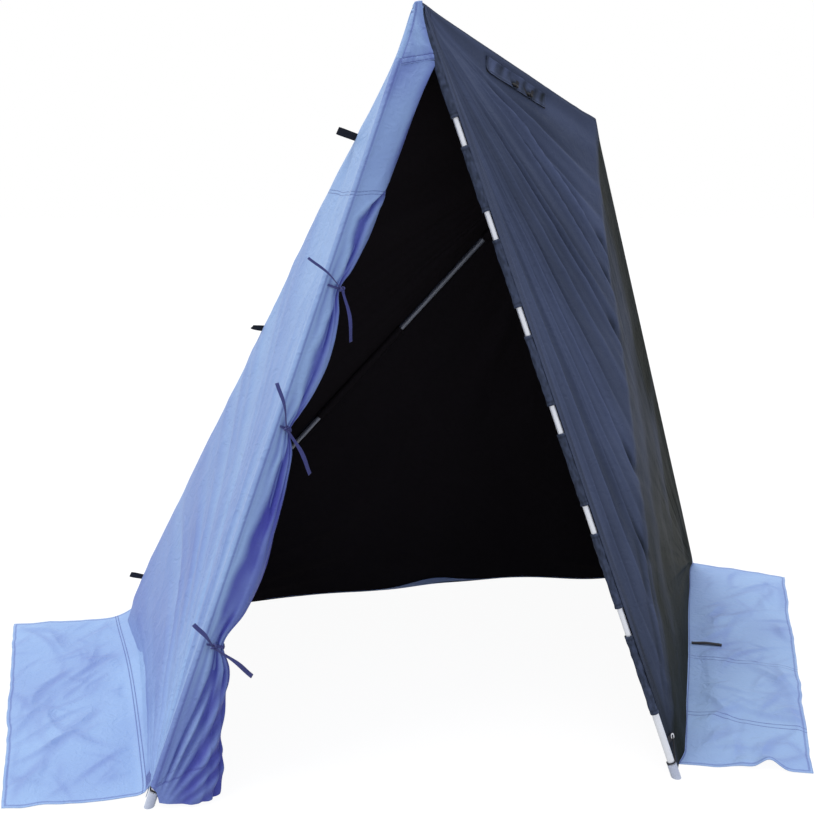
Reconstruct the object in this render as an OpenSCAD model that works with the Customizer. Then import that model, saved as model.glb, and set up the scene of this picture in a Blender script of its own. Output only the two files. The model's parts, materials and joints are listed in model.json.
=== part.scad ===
// Walk-in darkroom tent: two pairs of poles under a short ridge, cloth walls,
// a door gathered to one pole and flaps on the ground.
// Millimetres, +Z up, the ground at Z 0, the open front towards -Y.

/* [Pitch] */
// Front left foot, X and Y on the ground
front_left_foot = [-720, -974]; // [-1400:1:1400]
// Front right foot, X and Y on the ground
front_right_foot = [650, -852]; // [-1400:1:1400]
// Rear left foot, X and Y on the ground
rear_left_foot = [-1060, 148]; // [-1400:1:1400]
// Rear right foot, X and Y on the ground
rear_right_foot = [1126, 631]; // [-1400:1:1400]
// Front apex, X, Y and height
front_apex = [-37, -506, 2004]; // [-600:1:2200]
// Rear apex, X, Y and height
rear_apex = [512, -56, 1746]; // [-600:1:2200]

/* [Poles] */
// Outside diameter of the pole tubes
tube_d = 16; // [12:0.5:18]
// Wall of every tube
tube_wall = 1.2; // [0.8:0.1:1.4]
// Outside diameter of the foot tube that each pole stands in
foot_tube_d = 19; // [18.6:0.1:20]
// Length of the foot tube
foot_tube_l = 180; // [140:5:260]
// How far a pole reaches into its foot tube
foot_overlap = 90; // [50:5:110]
// Where the upper and lower tubes meet, as a share of the pole from the foot
split_share = 0.52; // [0.4:0.01:0.6]
// Length of the spigot inside that joint
spigot_l = 150; // [80:5:200]
// Outside diameter of the moulded foot caps
foot_cap_d = 25; // [23:0.5:26]
// Height of the foot caps along the pole
foot_cap_l = 38; // [25:1:45]

/* [Apex connectors] */
// Outside diameter of the sockets
socket_d = 21; // [19:0.5:22]
// From the apex to the bottom of each socket
socket_root = 36; // [34:1:45]
// Depth of each socket
socket_depth = 52; // [30:1:70]
// Diameter of the ball that the sockets grow out of
connector_ball_d = 28; // [22:1:30]

/* [Cloth] */
// Thickness of the wall panels
cloth_t = 2; // [1.2:0.1:3]
// Outside diameter of the pole sleeves
sleeve_d = 21; // [20:0.5:22]
// Wall of the pole sleeves
sleeve_wall = 1.8; // [1:0.1:2]
// From the front apex to the first gap in the front right sleeve
first_gap = 306; // [280:1:330]
// Length of each gap in that sleeve
sleeve_gap = 78; // [60:1:90]
// Step from the first gap to the second
gap_step = 258; // [240:1:270]
// How much longer each further step is
gap_growth = 7.2; // [0:0.1:8]
// Number of gaps above the bare foot
gap_count = 6; // [3:1:6]
// Height of the closed gable along the left pole
gable_left = 160; // [140:1:200]
// Height of the closed gable along the right pole
gable_right = 128; // [120:1:180]

/* [Ground flaps] */
// Width of the left flap at its front and rear ends
left_flap_w = [325, 395]; // [250:5:420]
// Width of the right flap at its front and rear ends
right_flap_w = [325, 350]; // [250:5:420]
// Width of the rear flap at its left and right ends
rear_flap_w = [345, 345]; // [250:5:420]
// From the wall's base line to a flap's sewn edge
flap_gap = 26; // [24:1:34]
// Thickness of the flaps
flap_t = 2; // [1.5:0.1:3]

/* [Door] */
// Places of the three door ties from the front apex, along the pole
tie_places = [767, 1153, 1735]; // [500:1:1900]
// Width of the tie ribbon
tie_w = 13; // [8:1:20]
// Number of main folds round the gathered door
fold_count = 9; // [5:1:9]
// Depth of the folds, as a share of the bundle's radius
fold_depth = 0.16; // [0.05:0.01:0.2]

/* [Vent] */
// From the front apex to the vent, along the ridge
vent_start = 262; // [240:1:280]
// Length of the vent along the ridge
vent_l = 260; // [150:5:280]
// Height of the vent cover down the wall
vent_h = 50; // [35:1:60]

/* [Trim] */
// Places of the guy loops from the front apex, along the left wall's crease
loop_places = [382, 1044, 2160]; // [200:1:2200]
// Length, width and thickness of a guy loop
loop_size = [46, 20, 3]; // [2:1:60]
// Length, width and thickness of the strap on the right flap
strap_size = [108, 14, 1.6]; // [1:0.1:160]

/* [Hidden] */
$fn = 48;

BLUE = "#93aee0";
BLACK = "#3c3f4e";
SILVER = "#d4d8de";
DARK = "#202227";
PALE = "#c3cad1";
fit_gap = 0.2;
joint_gap = 0.5;
crease_gap = 0.8;
base_gap = 8;
corner_cut = 52;
sleeve_r = sleeve_d / 2;
edge_gap = sleeve_r + 2;
apex_cut = 12;
foot_start = 10;

// Feet as points on the ground
front_left = [front_left_foot.x, front_left_foot.y, 0];
front_right = [front_right_foot.x, front_right_foot.y, 0];
rear_left = [rear_left_foot.x, rear_left_foot.y, 0];
rear_right = [rear_right_foot.x, rear_right_foot.y, 0];

// Each leg: name, apex, foot, and a further corner of the wall panel that its tab lies on
LEGS = [
  ["front_left", front_apex, front_left, rear_left],
  ["front_right", front_apex, front_right, rear_apex],
  ["rear_left", rear_apex, rear_left, rear_right],
  ["rear_right", rear_apex, rear_right, rear_left]
];
inside = (front_left + front_right + rear_left + rear_right + front_apex + rear_apex) / 6;

function unit(v) = v / norm(v);
// Normal of three points, turned away from the inside of the tent
function outward(a, b, c) =
  let (n = unit(cross(b - a, c - a)))
  n * sign(n * (a - inside));
function leg_length(leg) = norm(leg[1] - leg[2]);
function leg_up(leg) = unit(leg[1] - leg[2]);
ridge_l = norm(rear_apex - front_apex);
ridge_dir = unit(rear_apex - front_apex);
sleeve_top = socket_root + socket_depth + 2;
function sleeve_end(leg) = leg_length(leg) - foot_tube_l - joint_gap;

// Start of the numbered gap in the front right sleeve: an even step that grows a little
function gap_start(i) = first_gap + gap_step * i + gap_growth * i * (i - 1) / 2;

// Moves a triangle's corner inwards, clear of its two edges
function inset_corner(a, b, c, off_ab, off_ac) =
  let (ab = unit(b - a), ac = unit(c - a), s = norm(cross(ab, ac)))
  a + ab * off_ac / s + ac * off_ab / s;

// Triangle moved in from its edges AB, BC and CA
function inset(p, off) = [
  inset_corner(p[0], p[1], p[2], off[0], off[2]),
  inset_corner(p[1], p[2], p[0], off[1], off[0]),
  inset_corner(p[2], p[0], p[1], off[2], off[1])
];

// Cuts the corners off a polygon by the given lengths
function trimmed(p, cuts) = [
  for (i = [0:len(p) - 1])
    let (last = p[(i + len(p) - 1) % len(p)], next = p[(i + 1) % len(p)])
    each cuts[i] > 0
      ? [p[i] + unit(last - p[i]) * cuts[i], p[i] + unit(next - p[i]) * cuts[i]]
      : [p[i]]
];

// Flat plate on a planar polygon, half of its thickness on either side
module plate(p, t) {
  n = len(p);
  up = unit(cross(p[1] - p[0], p[2] - p[1]));
  ends = [[for (i = [n - 1:-1:0]) i], [for (i = [0:n - 1]) n + i]];
  sides = [for (i = [0:n - 1]) [i, (i + 1) % n, n + (i + 1) % n, n + i]];
  polyhedron([for (q = p) q + up * t / 2, for (q = p) q - up * t / 2], concat(ends, sides));
}

// Turns and moves children so that Z runs from a towards b
module along(a, b) {
  d = b - a;
  translate(a) rotate([0, acos(d.z / norm(d)), atan2(d.y, d.x)]) children();
}

// Places children in the frame of three unit axes and an origin
module frame(x, y, z, o) {
  multmatrix([[x.x, y.x, z.x, o.x], [x.y, y.y, z.y, o.y], [x.z, y.z, z.z, o.z]]) children();
}

// Tube from one height to another on the axis
module pipe(low, high, outer_d, inner_d) {
  translate([0, 0, low]) difference() {
    cylinder(d = outer_d, h = high - low);
    translate([0, 0, -1]) cylinder(d = inner_d, h = high - low + 2);
  }
}

// Pole sections, measured up the leg from its foot
module upper_tube(leg) {
  color(SILVER) along(leg[2], leg[1])
    pipe(
      leg_length(leg) * split_share + joint_gap, leg_length(leg) - socket_root - joint_gap,
      tube_d, tube_d - 2 * tube_wall
    );
}

module lower_tube(leg) {
  color(SILVER) along(leg[2], leg[1])
    pipe(foot_tube_l - foot_overlap, leg_length(leg) * split_share, tube_d, tube_d - 2 * tube_wall);
}

module spigot(leg) {
  spigot_d = tube_d - 2 * tube_wall - 2 * fit_gap;
  color(SILVER) along(leg[2], leg[1])
    translate([0, 0, leg_length(leg) * split_share - spigot_l / 2]) cylinder(d = spigot_d, h = spigot_l);
}

module foot_tube(leg) {
  color(SILVER) along(leg[2], leg[1]) pipe(foot_start, foot_tube_l, foot_tube_d, tube_d + 2 * fit_gap);
}

// Moulded cap, cut flat where it stands on the ground
module foot_cap(leg) {
  ground_w = 80;
  color(PALE) difference() {
    along(leg[2], leg[1]) rotate([0, 0, 90]) translate([0, 0, -foot_cap_d / 2])
      cylinder(d = foot_cap_d, h = foot_cap_l + foot_cap_d / 2);
    along(leg[2], leg[1]) translate([0, 0, foot_start - fit_gap])
      cylinder(d = foot_tube_d + 2 * fit_gap, h = foot_cap_l);
    translate(leg[2] - [ground_w, ground_w, 2 * ground_w] / 2) cube(ground_w);
  }
}

// Moulded corner that holds two pole tops and one end of the ridge pole
module apex_connector(apex, ends) {
  color(DARK) difference() {
    union() {
      along(apex, ends[2]) sphere(d = connector_ball_d);
      for (e = ends) along(apex, e) cylinder(d = socket_d, h = socket_root + socket_depth);
    }
    for (e = ends) along(apex, e)
      translate([0, 0, socket_root]) cylinder(d = tube_d + 2 * fit_gap, h = socket_depth + 1);
  }
}

module ridge_pole() {
  color(SILVER) along(front_apex, rear_apex)
    pipe(socket_root + joint_gap, ridge_l - socket_root - joint_gap, tube_d, tube_d - 2 * tube_wall);
}

// Sleeve stretches on a pole, each given as start and end from the apex
module sleeves(leg, stretches, shade) {
  color(shade) along(leg[1], leg[2])
    for (s = stretches) pipe(s[0], s[1], sleeve_d, sleeve_d - 2 * sleeve_wall);
}

module front_left_sleeve() {
  sleeves(LEGS[0], [[sleeve_top, sleeve_end(LEGS[0])]], BLUE);
}

module front_right_sleeve() {
  starts = [sleeve_top, for (i = [0:gap_count - 1]) gap_start(i) + sleeve_gap];
  ends = [for (i = [0:gap_count]) min(gap_start(i), sleeve_end(LEGS[1]))];
  sleeves(LEGS[1], [for (i = [0:gap_count]) [starts[i], ends[i]]], BLACK);
}

// Rear sleeves leave the pole bare over two stretches, given as shares of the pole from the apex
module rear_sleeve(leg) {
  l = leg_length(leg);
  shares = [[sleeve_top / l, 0.21], [0.38, 0.56], [0.625, sleeve_end(leg) / l]];
  sleeves(leg, [for (s = shares) s * l], BLACK);
}

module ridge_sleeve() {
  color(BLACK) along(front_apex, rear_apex)
    pipe(sleeve_top, ridge_l - sleeve_top, sleeve_d, sleeve_d - 2 * sleeve_wall);
}

// Walls: the two side walls are each folded along a diagonal, so each has two flat panels
module left_wall() {
  front = inset([front_apex, front_left, rear_left], [edge_gap, base_gap, crease_gap]);
  rear = inset([front_apex, rear_left, rear_apex], [crease_gap, edge_gap, edge_gap]);
  color(BLUE) {
    plate(trimmed(front, [0, corner_cut, corner_cut]), cloth_t);
    plate(trimmed(rear, [apex_cut, corner_cut, 0]), cloth_t);
  }
}

module right_wall() {
  front = inset([front_apex, front_right, rear_apex], [edge_gap, crease_gap, edge_gap]);
  rear = inset([rear_apex, front_right, rear_right], [crease_gap, base_gap, edge_gap]);
  vent_inset = 12;
  color(BLACK) {
    difference() {
      plate(trimmed(front, [0, corner_cut, apex_cut]), cloth_t);
      on_vent() translate([vent_inset, vent_inset, -cloth_t])
        cube([vent_h - 2 * vent_inset, vent_l - 2 * vent_inset, 2 * cloth_t]);
    }
    plate(trimmed(rear, [0, corner_cut, corner_cut]), cloth_t);
  }
}

module back_wall() {
  panel = inset([rear_apex, rear_left, rear_right], [edge_gap, base_gap, edge_gap]);
  color(BLACK) plate(trimmed(panel, [0, corner_cut, corner_cut]), cloth_t);
}

module gable() {
  left_end = front_apex - leg_up(LEGS[0]) * gable_left;
  right_end = front_apex - leg_up(LEGS[1]) * gable_right;
  color(BLUE) plate(inset([front_apex, left_end, right_end], [edge_gap, 0, edge_gap]), cloth_t);
}

// Webbing tab round each foot tube, with its eyelet, lying on the outside of the wall's corner
tab_up = 96;
tab_w = 16;
tab_t = 2;
tab_reach = 46;
tab_lift = 2;
eyelet_bore = 8;
eyelet_neck = 11;
eyelet_rim = 16;
module on_corner(leg) {
  z = outward(leg[2], leg[1], leg[3]);
  y = leg_up(leg);
  frame(cross(y, z), y, z, leg[2] + y * tab_up) children();
}
// Which way the wall lies in that frame, along X
function tab_side(leg) =
  sign(cross(leg_up(leg), outward(leg[2], leg[1], leg[3])) * (leg[3] - leg[2]));
eyelet_reach = tab_reach - tab_w * 0.6;

module corner_tabs() {
  band_d = foot_tube_d + 2 * fit_gap;
  color(DARK) for (leg = LEGS) on_corner(leg) difference() {
    union() {
      rotate([90, 0, 0]) cylinder(d = band_d + 2 * tab_t, h = tab_w, center = true);
      translate([min(0, tab_side(leg) * tab_reach), -tab_w / 2, tab_lift]) cube([tab_reach, tab_w, tab_t]);
    }
    rotate([90, 0, 0]) cylinder(d = band_d, h = tab_w + 2, center = true);
    translate([tab_side(leg) * eyelet_reach, 0, 0]) cylinder(d = eyelet_neck + 2 * fit_gap, h = 20);
  }
}

module corner_eyelets() {
  rim_t = 0.8;
  color(SILVER) for (leg = LEGS) on_corner(leg)
    translate([tab_side(leg) * eyelet_reach, 0, tab_lift]) difference() {
      union() {
        cylinder(d = eyelet_neck, h = tab_t + fit_gap);
        translate([0, 0, tab_t + fit_gap]) cylinder(d = eyelet_rim, h = rim_t);
      }
      translate([0, 0, -1]) cylinder(d = eyelet_bore, h = 2 * tab_t + 2);
    }
}

// Flat webbing loops that stand out from the left wall's crease
module guy_loops() {
  run = unit(rear_left - front_apex);
  out = unit(outward(front_apex, front_left, rear_left) + outward(front_apex, rear_left, rear_apex));
  color(DARK) for (s = loop_places)
    frame(out, run, cross(out, run), front_apex + run * s)
      translate([cloth_t, -loop_size.y / 2, -loop_size.z / 2]) cube(loop_size);
}

// Vent under the ridge on the right wall: X down the wall, Y along the ridge, Z out of the wall
vent_n = outward(front_apex, front_right, rear_apex);
vent_down = cross(ridge_dir, vent_n);
vent_top = 16;
module on_vent() {
  corner = front_apex + ridge_dir * vent_start + vent_down * vent_top;
  frame(vent_down, ridge_dir, vent_n, corner) children();
}

vent_lift = 2.6;
cover_t = 1.6;
module vent_mesh() {
  color(DARK) on_vent() translate([2, 2, cloth_t / 2 + fit_gap]) cube([vent_h - 4, vent_l - 4, 0.8]);
}

module vent_cover() {
  round_r = 14;
  color(BLACK) on_vent() translate([0, 0, vent_lift]) linear_extrude(cover_t) {
    for (y = [round_r, vent_l - round_r]) translate([vent_h - round_r, y]) circle(round_r);
    translate([0, round_r]) square([vent_h, vent_l - 2 * round_r]);
    square([vent_h - round_r, vent_l]);
  }
}

module vent_toggles() {
  toggle_d = 7;
  toggle_l = 26;
  color(DARK) on_vent() for (y = [0.45, 0.7])
    translate([vent_h - 9, vent_l * y + toggle_l / 2, vent_lift + cover_t + toggle_d / 2 + fit_gap])
      rotate([90, 0, 0]) cylinder(d = toggle_d, h = toggle_l);
}

// Ground flap beside a base line from a to b, on the side that out points to.
// Each end is given as where it starts at the sewn edge and at the outer edge, measured from a.
module flap(a, b, out, width, front, rear) {
  run = unit(b - a);
  corners = [
    a + run * front[0] + out * flap_gap, a + run * rear[0] + out * flap_gap,
    a + run * rear[1] + out * (flap_gap + width[1]), a + run * front[1] + out * (flap_gap + width[0])
  ];
  color(BLUE) translate([0, 0, flap_t / 2]) plate(corners, flap_t);
}
function left_of(a, b) = let (d = unit(b - a)) [-d.y, d.x, 0];
left_out = left_of(front_left, rear_left);
right_out = -left_of(front_right, rear_right);
rear_out = left_of(rear_left, rear_right);

module left_flap() {
  l = norm(rear_left - front_left);
  flap(front_left, rear_left, left_out, left_flap_w, [74, 96], [l + 14, l + 24]);
}

module right_flap() {
  l = norm(rear_right - front_right);
  flap(front_right, rear_right, right_out, right_flap_w, [60, 130], [l, l - 46]);
}

module rear_flap() {
  l = norm(rear_right - rear_left);
  flap(rear_left, rear_right, rear_out, rear_flap_w, [30, 30], [l - 30, l - 30]);
}

module flap_strap() {
  strap_place = 797;
  run = unit(rear_right - front_right);
  color(DARK) frame(right_out, run, [0, 0, 1], front_right + run * strap_place + right_out * (flap_gap + 6))
    translate([0, -strap_size.y / 2, flap_t + 0.3]) cube(strap_size);
}

// Door: cloth gathered beside the front left pole, hanging under it. X away from the pole, Z up the pole.
door_axis = leg_up(LEGS[0]);
door_hang = unit(door_axis * door_axis.z - [0, 0, 1]);
door_side = cross(door_axis, door_hang);
module on_door() { frame(door_hang, door_side, door_axis, front_apex) children(); }

// Stations down the pole: distance from the apex, width and depth of the bundle
DOOR = [
  [178, 66, 50], [300, 78, 62], [480, 80, 66], [620, 74, 62], [710, 54, 46], [767, 34, 32],
  [830, 60, 52], [950, 78, 66], [1050, 60, 52], [1110, 40, 38], [1153, 27, 28], [1200, 48, 44],
  [1290, 74, 62], [1420, 88, 70], [1550, 92, 74], [1640, 78, 62], [1735, 42, 40], [1790, 84, 66],
  [1860, 106, 76], [1950, 118, 82], [2020, 140, 86], [2080, 150, 88]
];
door_start = 18;
ring_n = 6 * fold_count;

// Point of the bundle's outline: an ellipse whose radius waves once for each fold,
// turning slowly down the pole
function door_point(st, i) =
  let (
    a = 360 * i / ring_n,
    r = (1 + fold_depth * cos(fold_count * a + st[0] / 6)) / (1 + fold_depth)
  )
  [door_start + st[1] / 2 * (1 + r * cos(a)), st[2] / 2 * r * sin(a), -st[0]];

module door() {
  points = [for (st = DOOR, i = [0:ring_n - 1]) door_point(st, i)];
  last = len(DOOR) - 1;
  middles = [for (k = [0, last]) [door_start + DOOR[k][1] / 2, 0, -DOOR[k][0]]];
  function id(k, i) = k * ring_n + i % ring_n;
  top_id = len(points);
  faces = [
    for (k = [0:last - 1], i = [0:ring_n - 1])
      each [[id(k, i), id(k + 1, i), id(k, i + 1)], [id(k, i + 1), id(k + 1, i), id(k + 1, i + 1)]],
    for (i = [0:ring_n - 1])
      each [[top_id, id(0, i), id(0, i + 1)], [top_id + 1, id(last, i + 1), id(last, i)]]
  ];
  color(BLUE) on_door() polyhedron(concat(points, middles), [for (f = faces) [f[2], f[1], f[0]]]);
}

// Ribbon tied round the bundle's waist, with a knot in front and two tails
module door_tie(place, waist, tails) {
  ribbon_t = 1.6;
  slack = 4;
  knot_d = 17;
  function oval(grow) =
    [for (a = [0:10:350]) [(waist[0] / 2 + grow) * cos(a), (waist[1] / 2 + grow) * sin(a)]];
  knot_y = -waist[1] / 2 - slack - ribbon_t - knot_d / 2 + 1;
  color(DARK) on_door() translate([door_start + waist[0] / 2, 0, -place]) {
    translate([0, 0, -tie_w / 2]) linear_extrude(tie_w) difference() {
      polygon(oval(slack + ribbon_t));
      polygon(oval(slack));
    }
    translate([0, knot_y, 0]) sphere(d = knot_d);
    for (t = tails) translate([0, knot_y, 0]) rotate([0, t[0], 0])
      translate([knot_d / 2 - 2, -ribbon_t / 2, -tie_w / 2]) cube([t[1], ribbon_t, tie_w]);
  }
}

module upper_tie() { door_tie(tie_places[0], [34, 32], [[199, 125], [57, 138]]); }
module middle_tie() { door_tie(tie_places[1], [27, 28], [[237, 120], [41, 145]]); }
module lower_tie() { door_tie(tie_places[2], [42, 40], [[214, 85], [25, 150]]); }

for (leg = LEGS) {
  upper_tube(leg);
  lower_tube(leg);
  spigot(leg);
  foot_tube(leg);
  foot_cap(leg);
}
apex_connector(front_apex, [front_left, front_right, rear_apex]);  // front_apex_connector
apex_connector(rear_apex, [rear_left, rear_right, front_apex]);  // rear_apex_connector
ridge_pole();
left_wall();
right_wall();
back_wall();
gable();
ridge_sleeve();
front_left_sleeve();
front_right_sleeve();
rear_sleeve(LEGS[2]);  // rear_left_sleeve
rear_sleeve(LEGS[3]);  // rear_right_sleeve
corner_tabs();
corner_eyelets();
guy_loops();
vent_mesh();
vent_cover();
vent_toggles();
left_flap();
right_flap();
rear_flap();
flap_strap();
door();
upper_tie();
middle_tie();
lower_tie();
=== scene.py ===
"""Looks of the walk-in darkroom tent: cloth, ribbons, webbing, finishes, camera and light, in metres."""
import json

import bpy
import mathutils
import numpy as np
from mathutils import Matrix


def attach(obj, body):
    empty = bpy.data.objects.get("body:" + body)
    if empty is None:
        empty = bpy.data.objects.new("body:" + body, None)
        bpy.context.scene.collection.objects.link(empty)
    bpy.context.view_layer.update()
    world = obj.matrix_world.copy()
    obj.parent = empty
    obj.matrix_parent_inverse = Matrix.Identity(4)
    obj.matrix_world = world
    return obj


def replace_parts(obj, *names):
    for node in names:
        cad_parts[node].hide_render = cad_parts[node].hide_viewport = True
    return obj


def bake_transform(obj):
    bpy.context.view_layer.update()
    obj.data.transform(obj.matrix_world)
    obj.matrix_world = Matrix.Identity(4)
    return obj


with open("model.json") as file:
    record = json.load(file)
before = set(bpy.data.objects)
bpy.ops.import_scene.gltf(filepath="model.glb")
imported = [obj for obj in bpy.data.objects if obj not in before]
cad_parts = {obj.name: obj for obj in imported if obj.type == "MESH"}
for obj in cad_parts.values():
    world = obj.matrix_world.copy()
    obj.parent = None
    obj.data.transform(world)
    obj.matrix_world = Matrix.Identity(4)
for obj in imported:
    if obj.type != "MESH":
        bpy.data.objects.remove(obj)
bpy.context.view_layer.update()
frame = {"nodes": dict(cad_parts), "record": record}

# Feet and apexes, as the frame has them
FRONT_LEFT = np.array((-0.720, -0.974, 0.0))
FRONT_RIGHT = np.array((0.650, -0.852, 0.0))
REAR_LEFT = np.array((-1.060, 0.148, 0.0))
REAR_RIGHT = np.array((1.126, 0.631, 0.0))
FRONT_APEX = np.array((-0.037, -0.506, 2.004))
REAR_APEX = np.array((0.512, -0.056, 1.746))
INSIDE = (FRONT_LEFT + FRONT_RIGHT + REAR_LEFT + REAR_RIGHT + FRONT_APEX + REAR_APEX) / 6
UPWARD = np.array((0.0, 0.0, 1.0))
LIFT = 0.006 * UPWARD
# Radius of a sleeve, and of the cloth that lies over one
SLEEVE_R = 0.0114
OVER_POLE = 0.0124
# Height of the double seam across the left wall and the door
SEAM_Z = 1.525
WALL_THICK = 0.0014
TRIM_THICK = 0.0012
# Lowest that a wall's cloth hangs
WALL_LOW = 0.004
TINY = 1e-6
FULL_TURN = 2 * np.pi


# Arithmetic on arrays


def unit(v):
    return v / np.linalg.norm(v, axis=-1, keepdims=True)


def push(amount, direction):
    """Arrows along a direction, each as long as the amount at its place."""
    return np.asarray(amount)[..., None] * direction


def stacked(*values):
    """Arrays spread to one shape and joined as the coordinates of points."""
    return np.stack(np.broadcast_arrays(*values), -1)


def ease(x, low, high):
    """0 up to low and 1 from high, with the cubic 3t^2 - 2t^3 between."""
    t = np.clip((np.asarray(x, float) - low) / (high - low), 0, 1)
    return t * t * (3 - 2 * t)


def bell(x, middle, width):
    """Bell curve of height 1: e to the minus square of the distance over the width."""
    return np.exp(-(((x - middle) / width) ** 2))


def noise(x, y, seed):
    """Smooth noise from -1 to 1: seeded values on a square lattice, eased between its points."""
    table = np.random.default_rng(seed).uniform(-1, 1, (64, 64))
    x, y = np.broadcast_arrays(np.asarray(x, float), np.asarray(y, float))
    i, j = np.floor(x).astype(int), np.floor(y).astype(int)
    a, b = ease(x - i, 0, 1), ease(y - j, 0, 1)
    at = lambda p, q: table[p % 64, q % 64]
    low = at(i, j) * (1 - a) + at(i + 1, j) * a
    high = at(i, j + 1) * (1 - a) + at(i + 1, j + 1) * a
    return low * (1 - b) + high * b


def creases(x, y, seed):
    """Noise folded at zero, so that it has sharp crests: the cube of 1 - |noise|, on axes turned by the
    seed."""
    turn = 0.6 + seed * 2.4
    c, s = np.cos(turn), np.sin(turn)
    return (1 - np.abs(noise(c * x - s * y, s * x + c * y, seed))) ** 3


def off_line(points, a, b):
    """Distance of each point from the line a to b, and how far along it lies from a."""
    run = unit(b - a)
    along = (points - a) @ run
    return np.linalg.norm(points - a - push(along, run), axis=-1), along


def outward(a, b, c):
    """Normal of three points, turned away from the inside of the tent."""
    n = unit(np.cross(b - a, c - a))
    return n * np.sign(n @ (a - INSIDE))


def squared(wave, power):
    """A sine or cosine wave with flatter tops: its size to a power, with its own sign."""
    return np.sign(wave) * np.abs(wave) ** power


# Meshes from grids


def patch(points, uv=None, wrap=False, caps=False, inside=None, **marks):
    """A grid of points with a map in metres, taken from the mean spacing of its rows and columns where
    none is given. inside is a point or an array of points that the faces turn away from."""
    if uv is None:
        ring = np.concatenate([points, points[:, :1]], 1) if wrap else points
        down = np.linalg.norm(np.diff(points, axis=0), axis=-1).mean(1)
        across = np.linalg.norm(np.diff(ring, axis=1), axis=-1).mean(0)
        uv = np.stack(np.meshgrid(np.cumsum(np.r_[0, down]), np.cumsum(np.r_[0, across]), indexing="ij"), -1)
    if inside is None:
        inside = points.mean(1, keepdims=True) if wrap else points.mean((0, 1))
    return dict(points=points, uv=uv, wrap=wrap, caps=caps, inside=inside, marks=marks)


def link(name, data):
    """New object of the scene that holds the data."""
    obj = bpy.data.objects.new(name, data)
    bpy.context.scene.collection.objects.link(obj)
    return obj


def piece(name, patches, materials, thick=0.0):
    """One mesh of all the patches. Quads join neighbours on each grid, a ring's last column joins its
    first, and the faces are turned by the sign of the sum of normal times outward arrow. The last
    material is the back's."""
    points, faces, maps, marks, start = [], [], [], {}, 0
    names = sorted({m for p in patches for m in p["marks"]})
    for p in patches:
        grid, uv = p["points"], p["uv"]
        rows, cols = grid.shape[:2]
        i = np.arange(rows - 1)[:, None]
        j = np.arange(cols if p["wrap"] else cols - 1)[None, :]
        k = (j + 1) % cols
        quads = np.stack([i * cols + j, i * cols + k, (i + 1) * cols + k, (i + 1) * cols + j], -1)
        corners = np.stack([uv[i, j], uv[i, j + 1], uv[i + 1, j + 1], uv[i + 1, j]], -2)
        normal = np.cross(grid[i + 1, k] - grid[i, j], grid[i + 1, j] - grid[i, k])
        away = grid[:-1, : j.size] - (p["inside"][:-1] if np.ndim(p["inside"]) == 3 else p["inside"])
        turned = np.sum(normal * away) < 0
        if turned:
            quads, corners = quads[..., ::-1], corners[..., ::-1, :]
        faces += (quads.reshape(-1, 4) + start).tolist()
        maps.append(corners.reshape(-1, 2))
        if p["caps"]:
            first, last = np.arange(cols) + start, np.arange(cols) + start + (rows - 1) * cols
            ends = [first, last[::-1]] if turned else [first[::-1], last]
            faces += [e.tolist() for e in ends]
            maps.append(np.zeros((2 * cols, 2)))
        points.append(grid.reshape(-1, 3))
        for m in names:
            value = np.broadcast_to(p["marks"].get(m, 0.0), (rows, cols)).reshape(-1)
            marks.setdefault(m, []).append(value)
        start += rows * cols
    mesh = bpy.data.meshes.new(name)
    mesh.from_pydata(np.concatenate(points).tolist(), [], faces)
    uv_layer = mesh.uv_layers.new(name="cloth")
    uv_layer.data.foreach_set("uv", np.concatenate(maps).astype(np.float32).reshape(-1))
    for m in names:
        layer = mesh.attributes.new(m, "FLOAT", "POINT")
        layer.data.foreach_set("value", np.concatenate(marks[m]).astype(np.float32))
    for m in materials:
        mesh.materials.append(m)
    mesh.polygons.foreach_set("use_smooth", np.ones(len(faces), bool))
    mesh.update()
    obj = link(name, mesh)
    if thick:
        solid = obj.modifiers.new("thickness", "SOLIDIFY")
        solid.thickness, solid.offset = thick, -1
        solid.material_offset, solid.material_offset_rim = len(materials) - 1, 0
    return obj


def on_tent(obj, node):
    """A piece that rides on the tent in place of a node."""
    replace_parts(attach(obj, "tent"), node)


def ribbon(path, hint, width, thick, twist=0.0, closed=False):
    """Flat strip: an oval with squared ends, |cos|^0.45 by |sin|^0.45, carried along the path and twisted
    about it. It lies along the hint less the hint's part along the path."""
    tangent = unit(np.gradient(path, axis=0))
    across = np.broadcast_to(hint, path.shape)
    across = unit(across - np.sum(across * tangent, -1, keepdims=True) * tangent)
    up = np.cross(tangent, across)
    angle = np.linspace(0, FULL_TURN, 14, endpoint=False)
    wide, high = squared(np.cos(angle), 0.45) / 2, squared(np.sin(angle), 0.45) / 2
    twist = np.broadcast_to(twist, len(path))[:, None, None]
    flat = across[:, None] * np.cos(twist) + up[:, None] * np.sin(twist)
    tall = -across[:, None] * np.sin(twist) + up[:, None] * np.cos(twist)
    width = np.broadcast_to(width, len(path))[:, None, None]
    points = path[:, None] + flat * wide[:, None] * width + tall * high[:, None] * thick
    return patch(points, wrap=True, caps=not closed)


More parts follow.
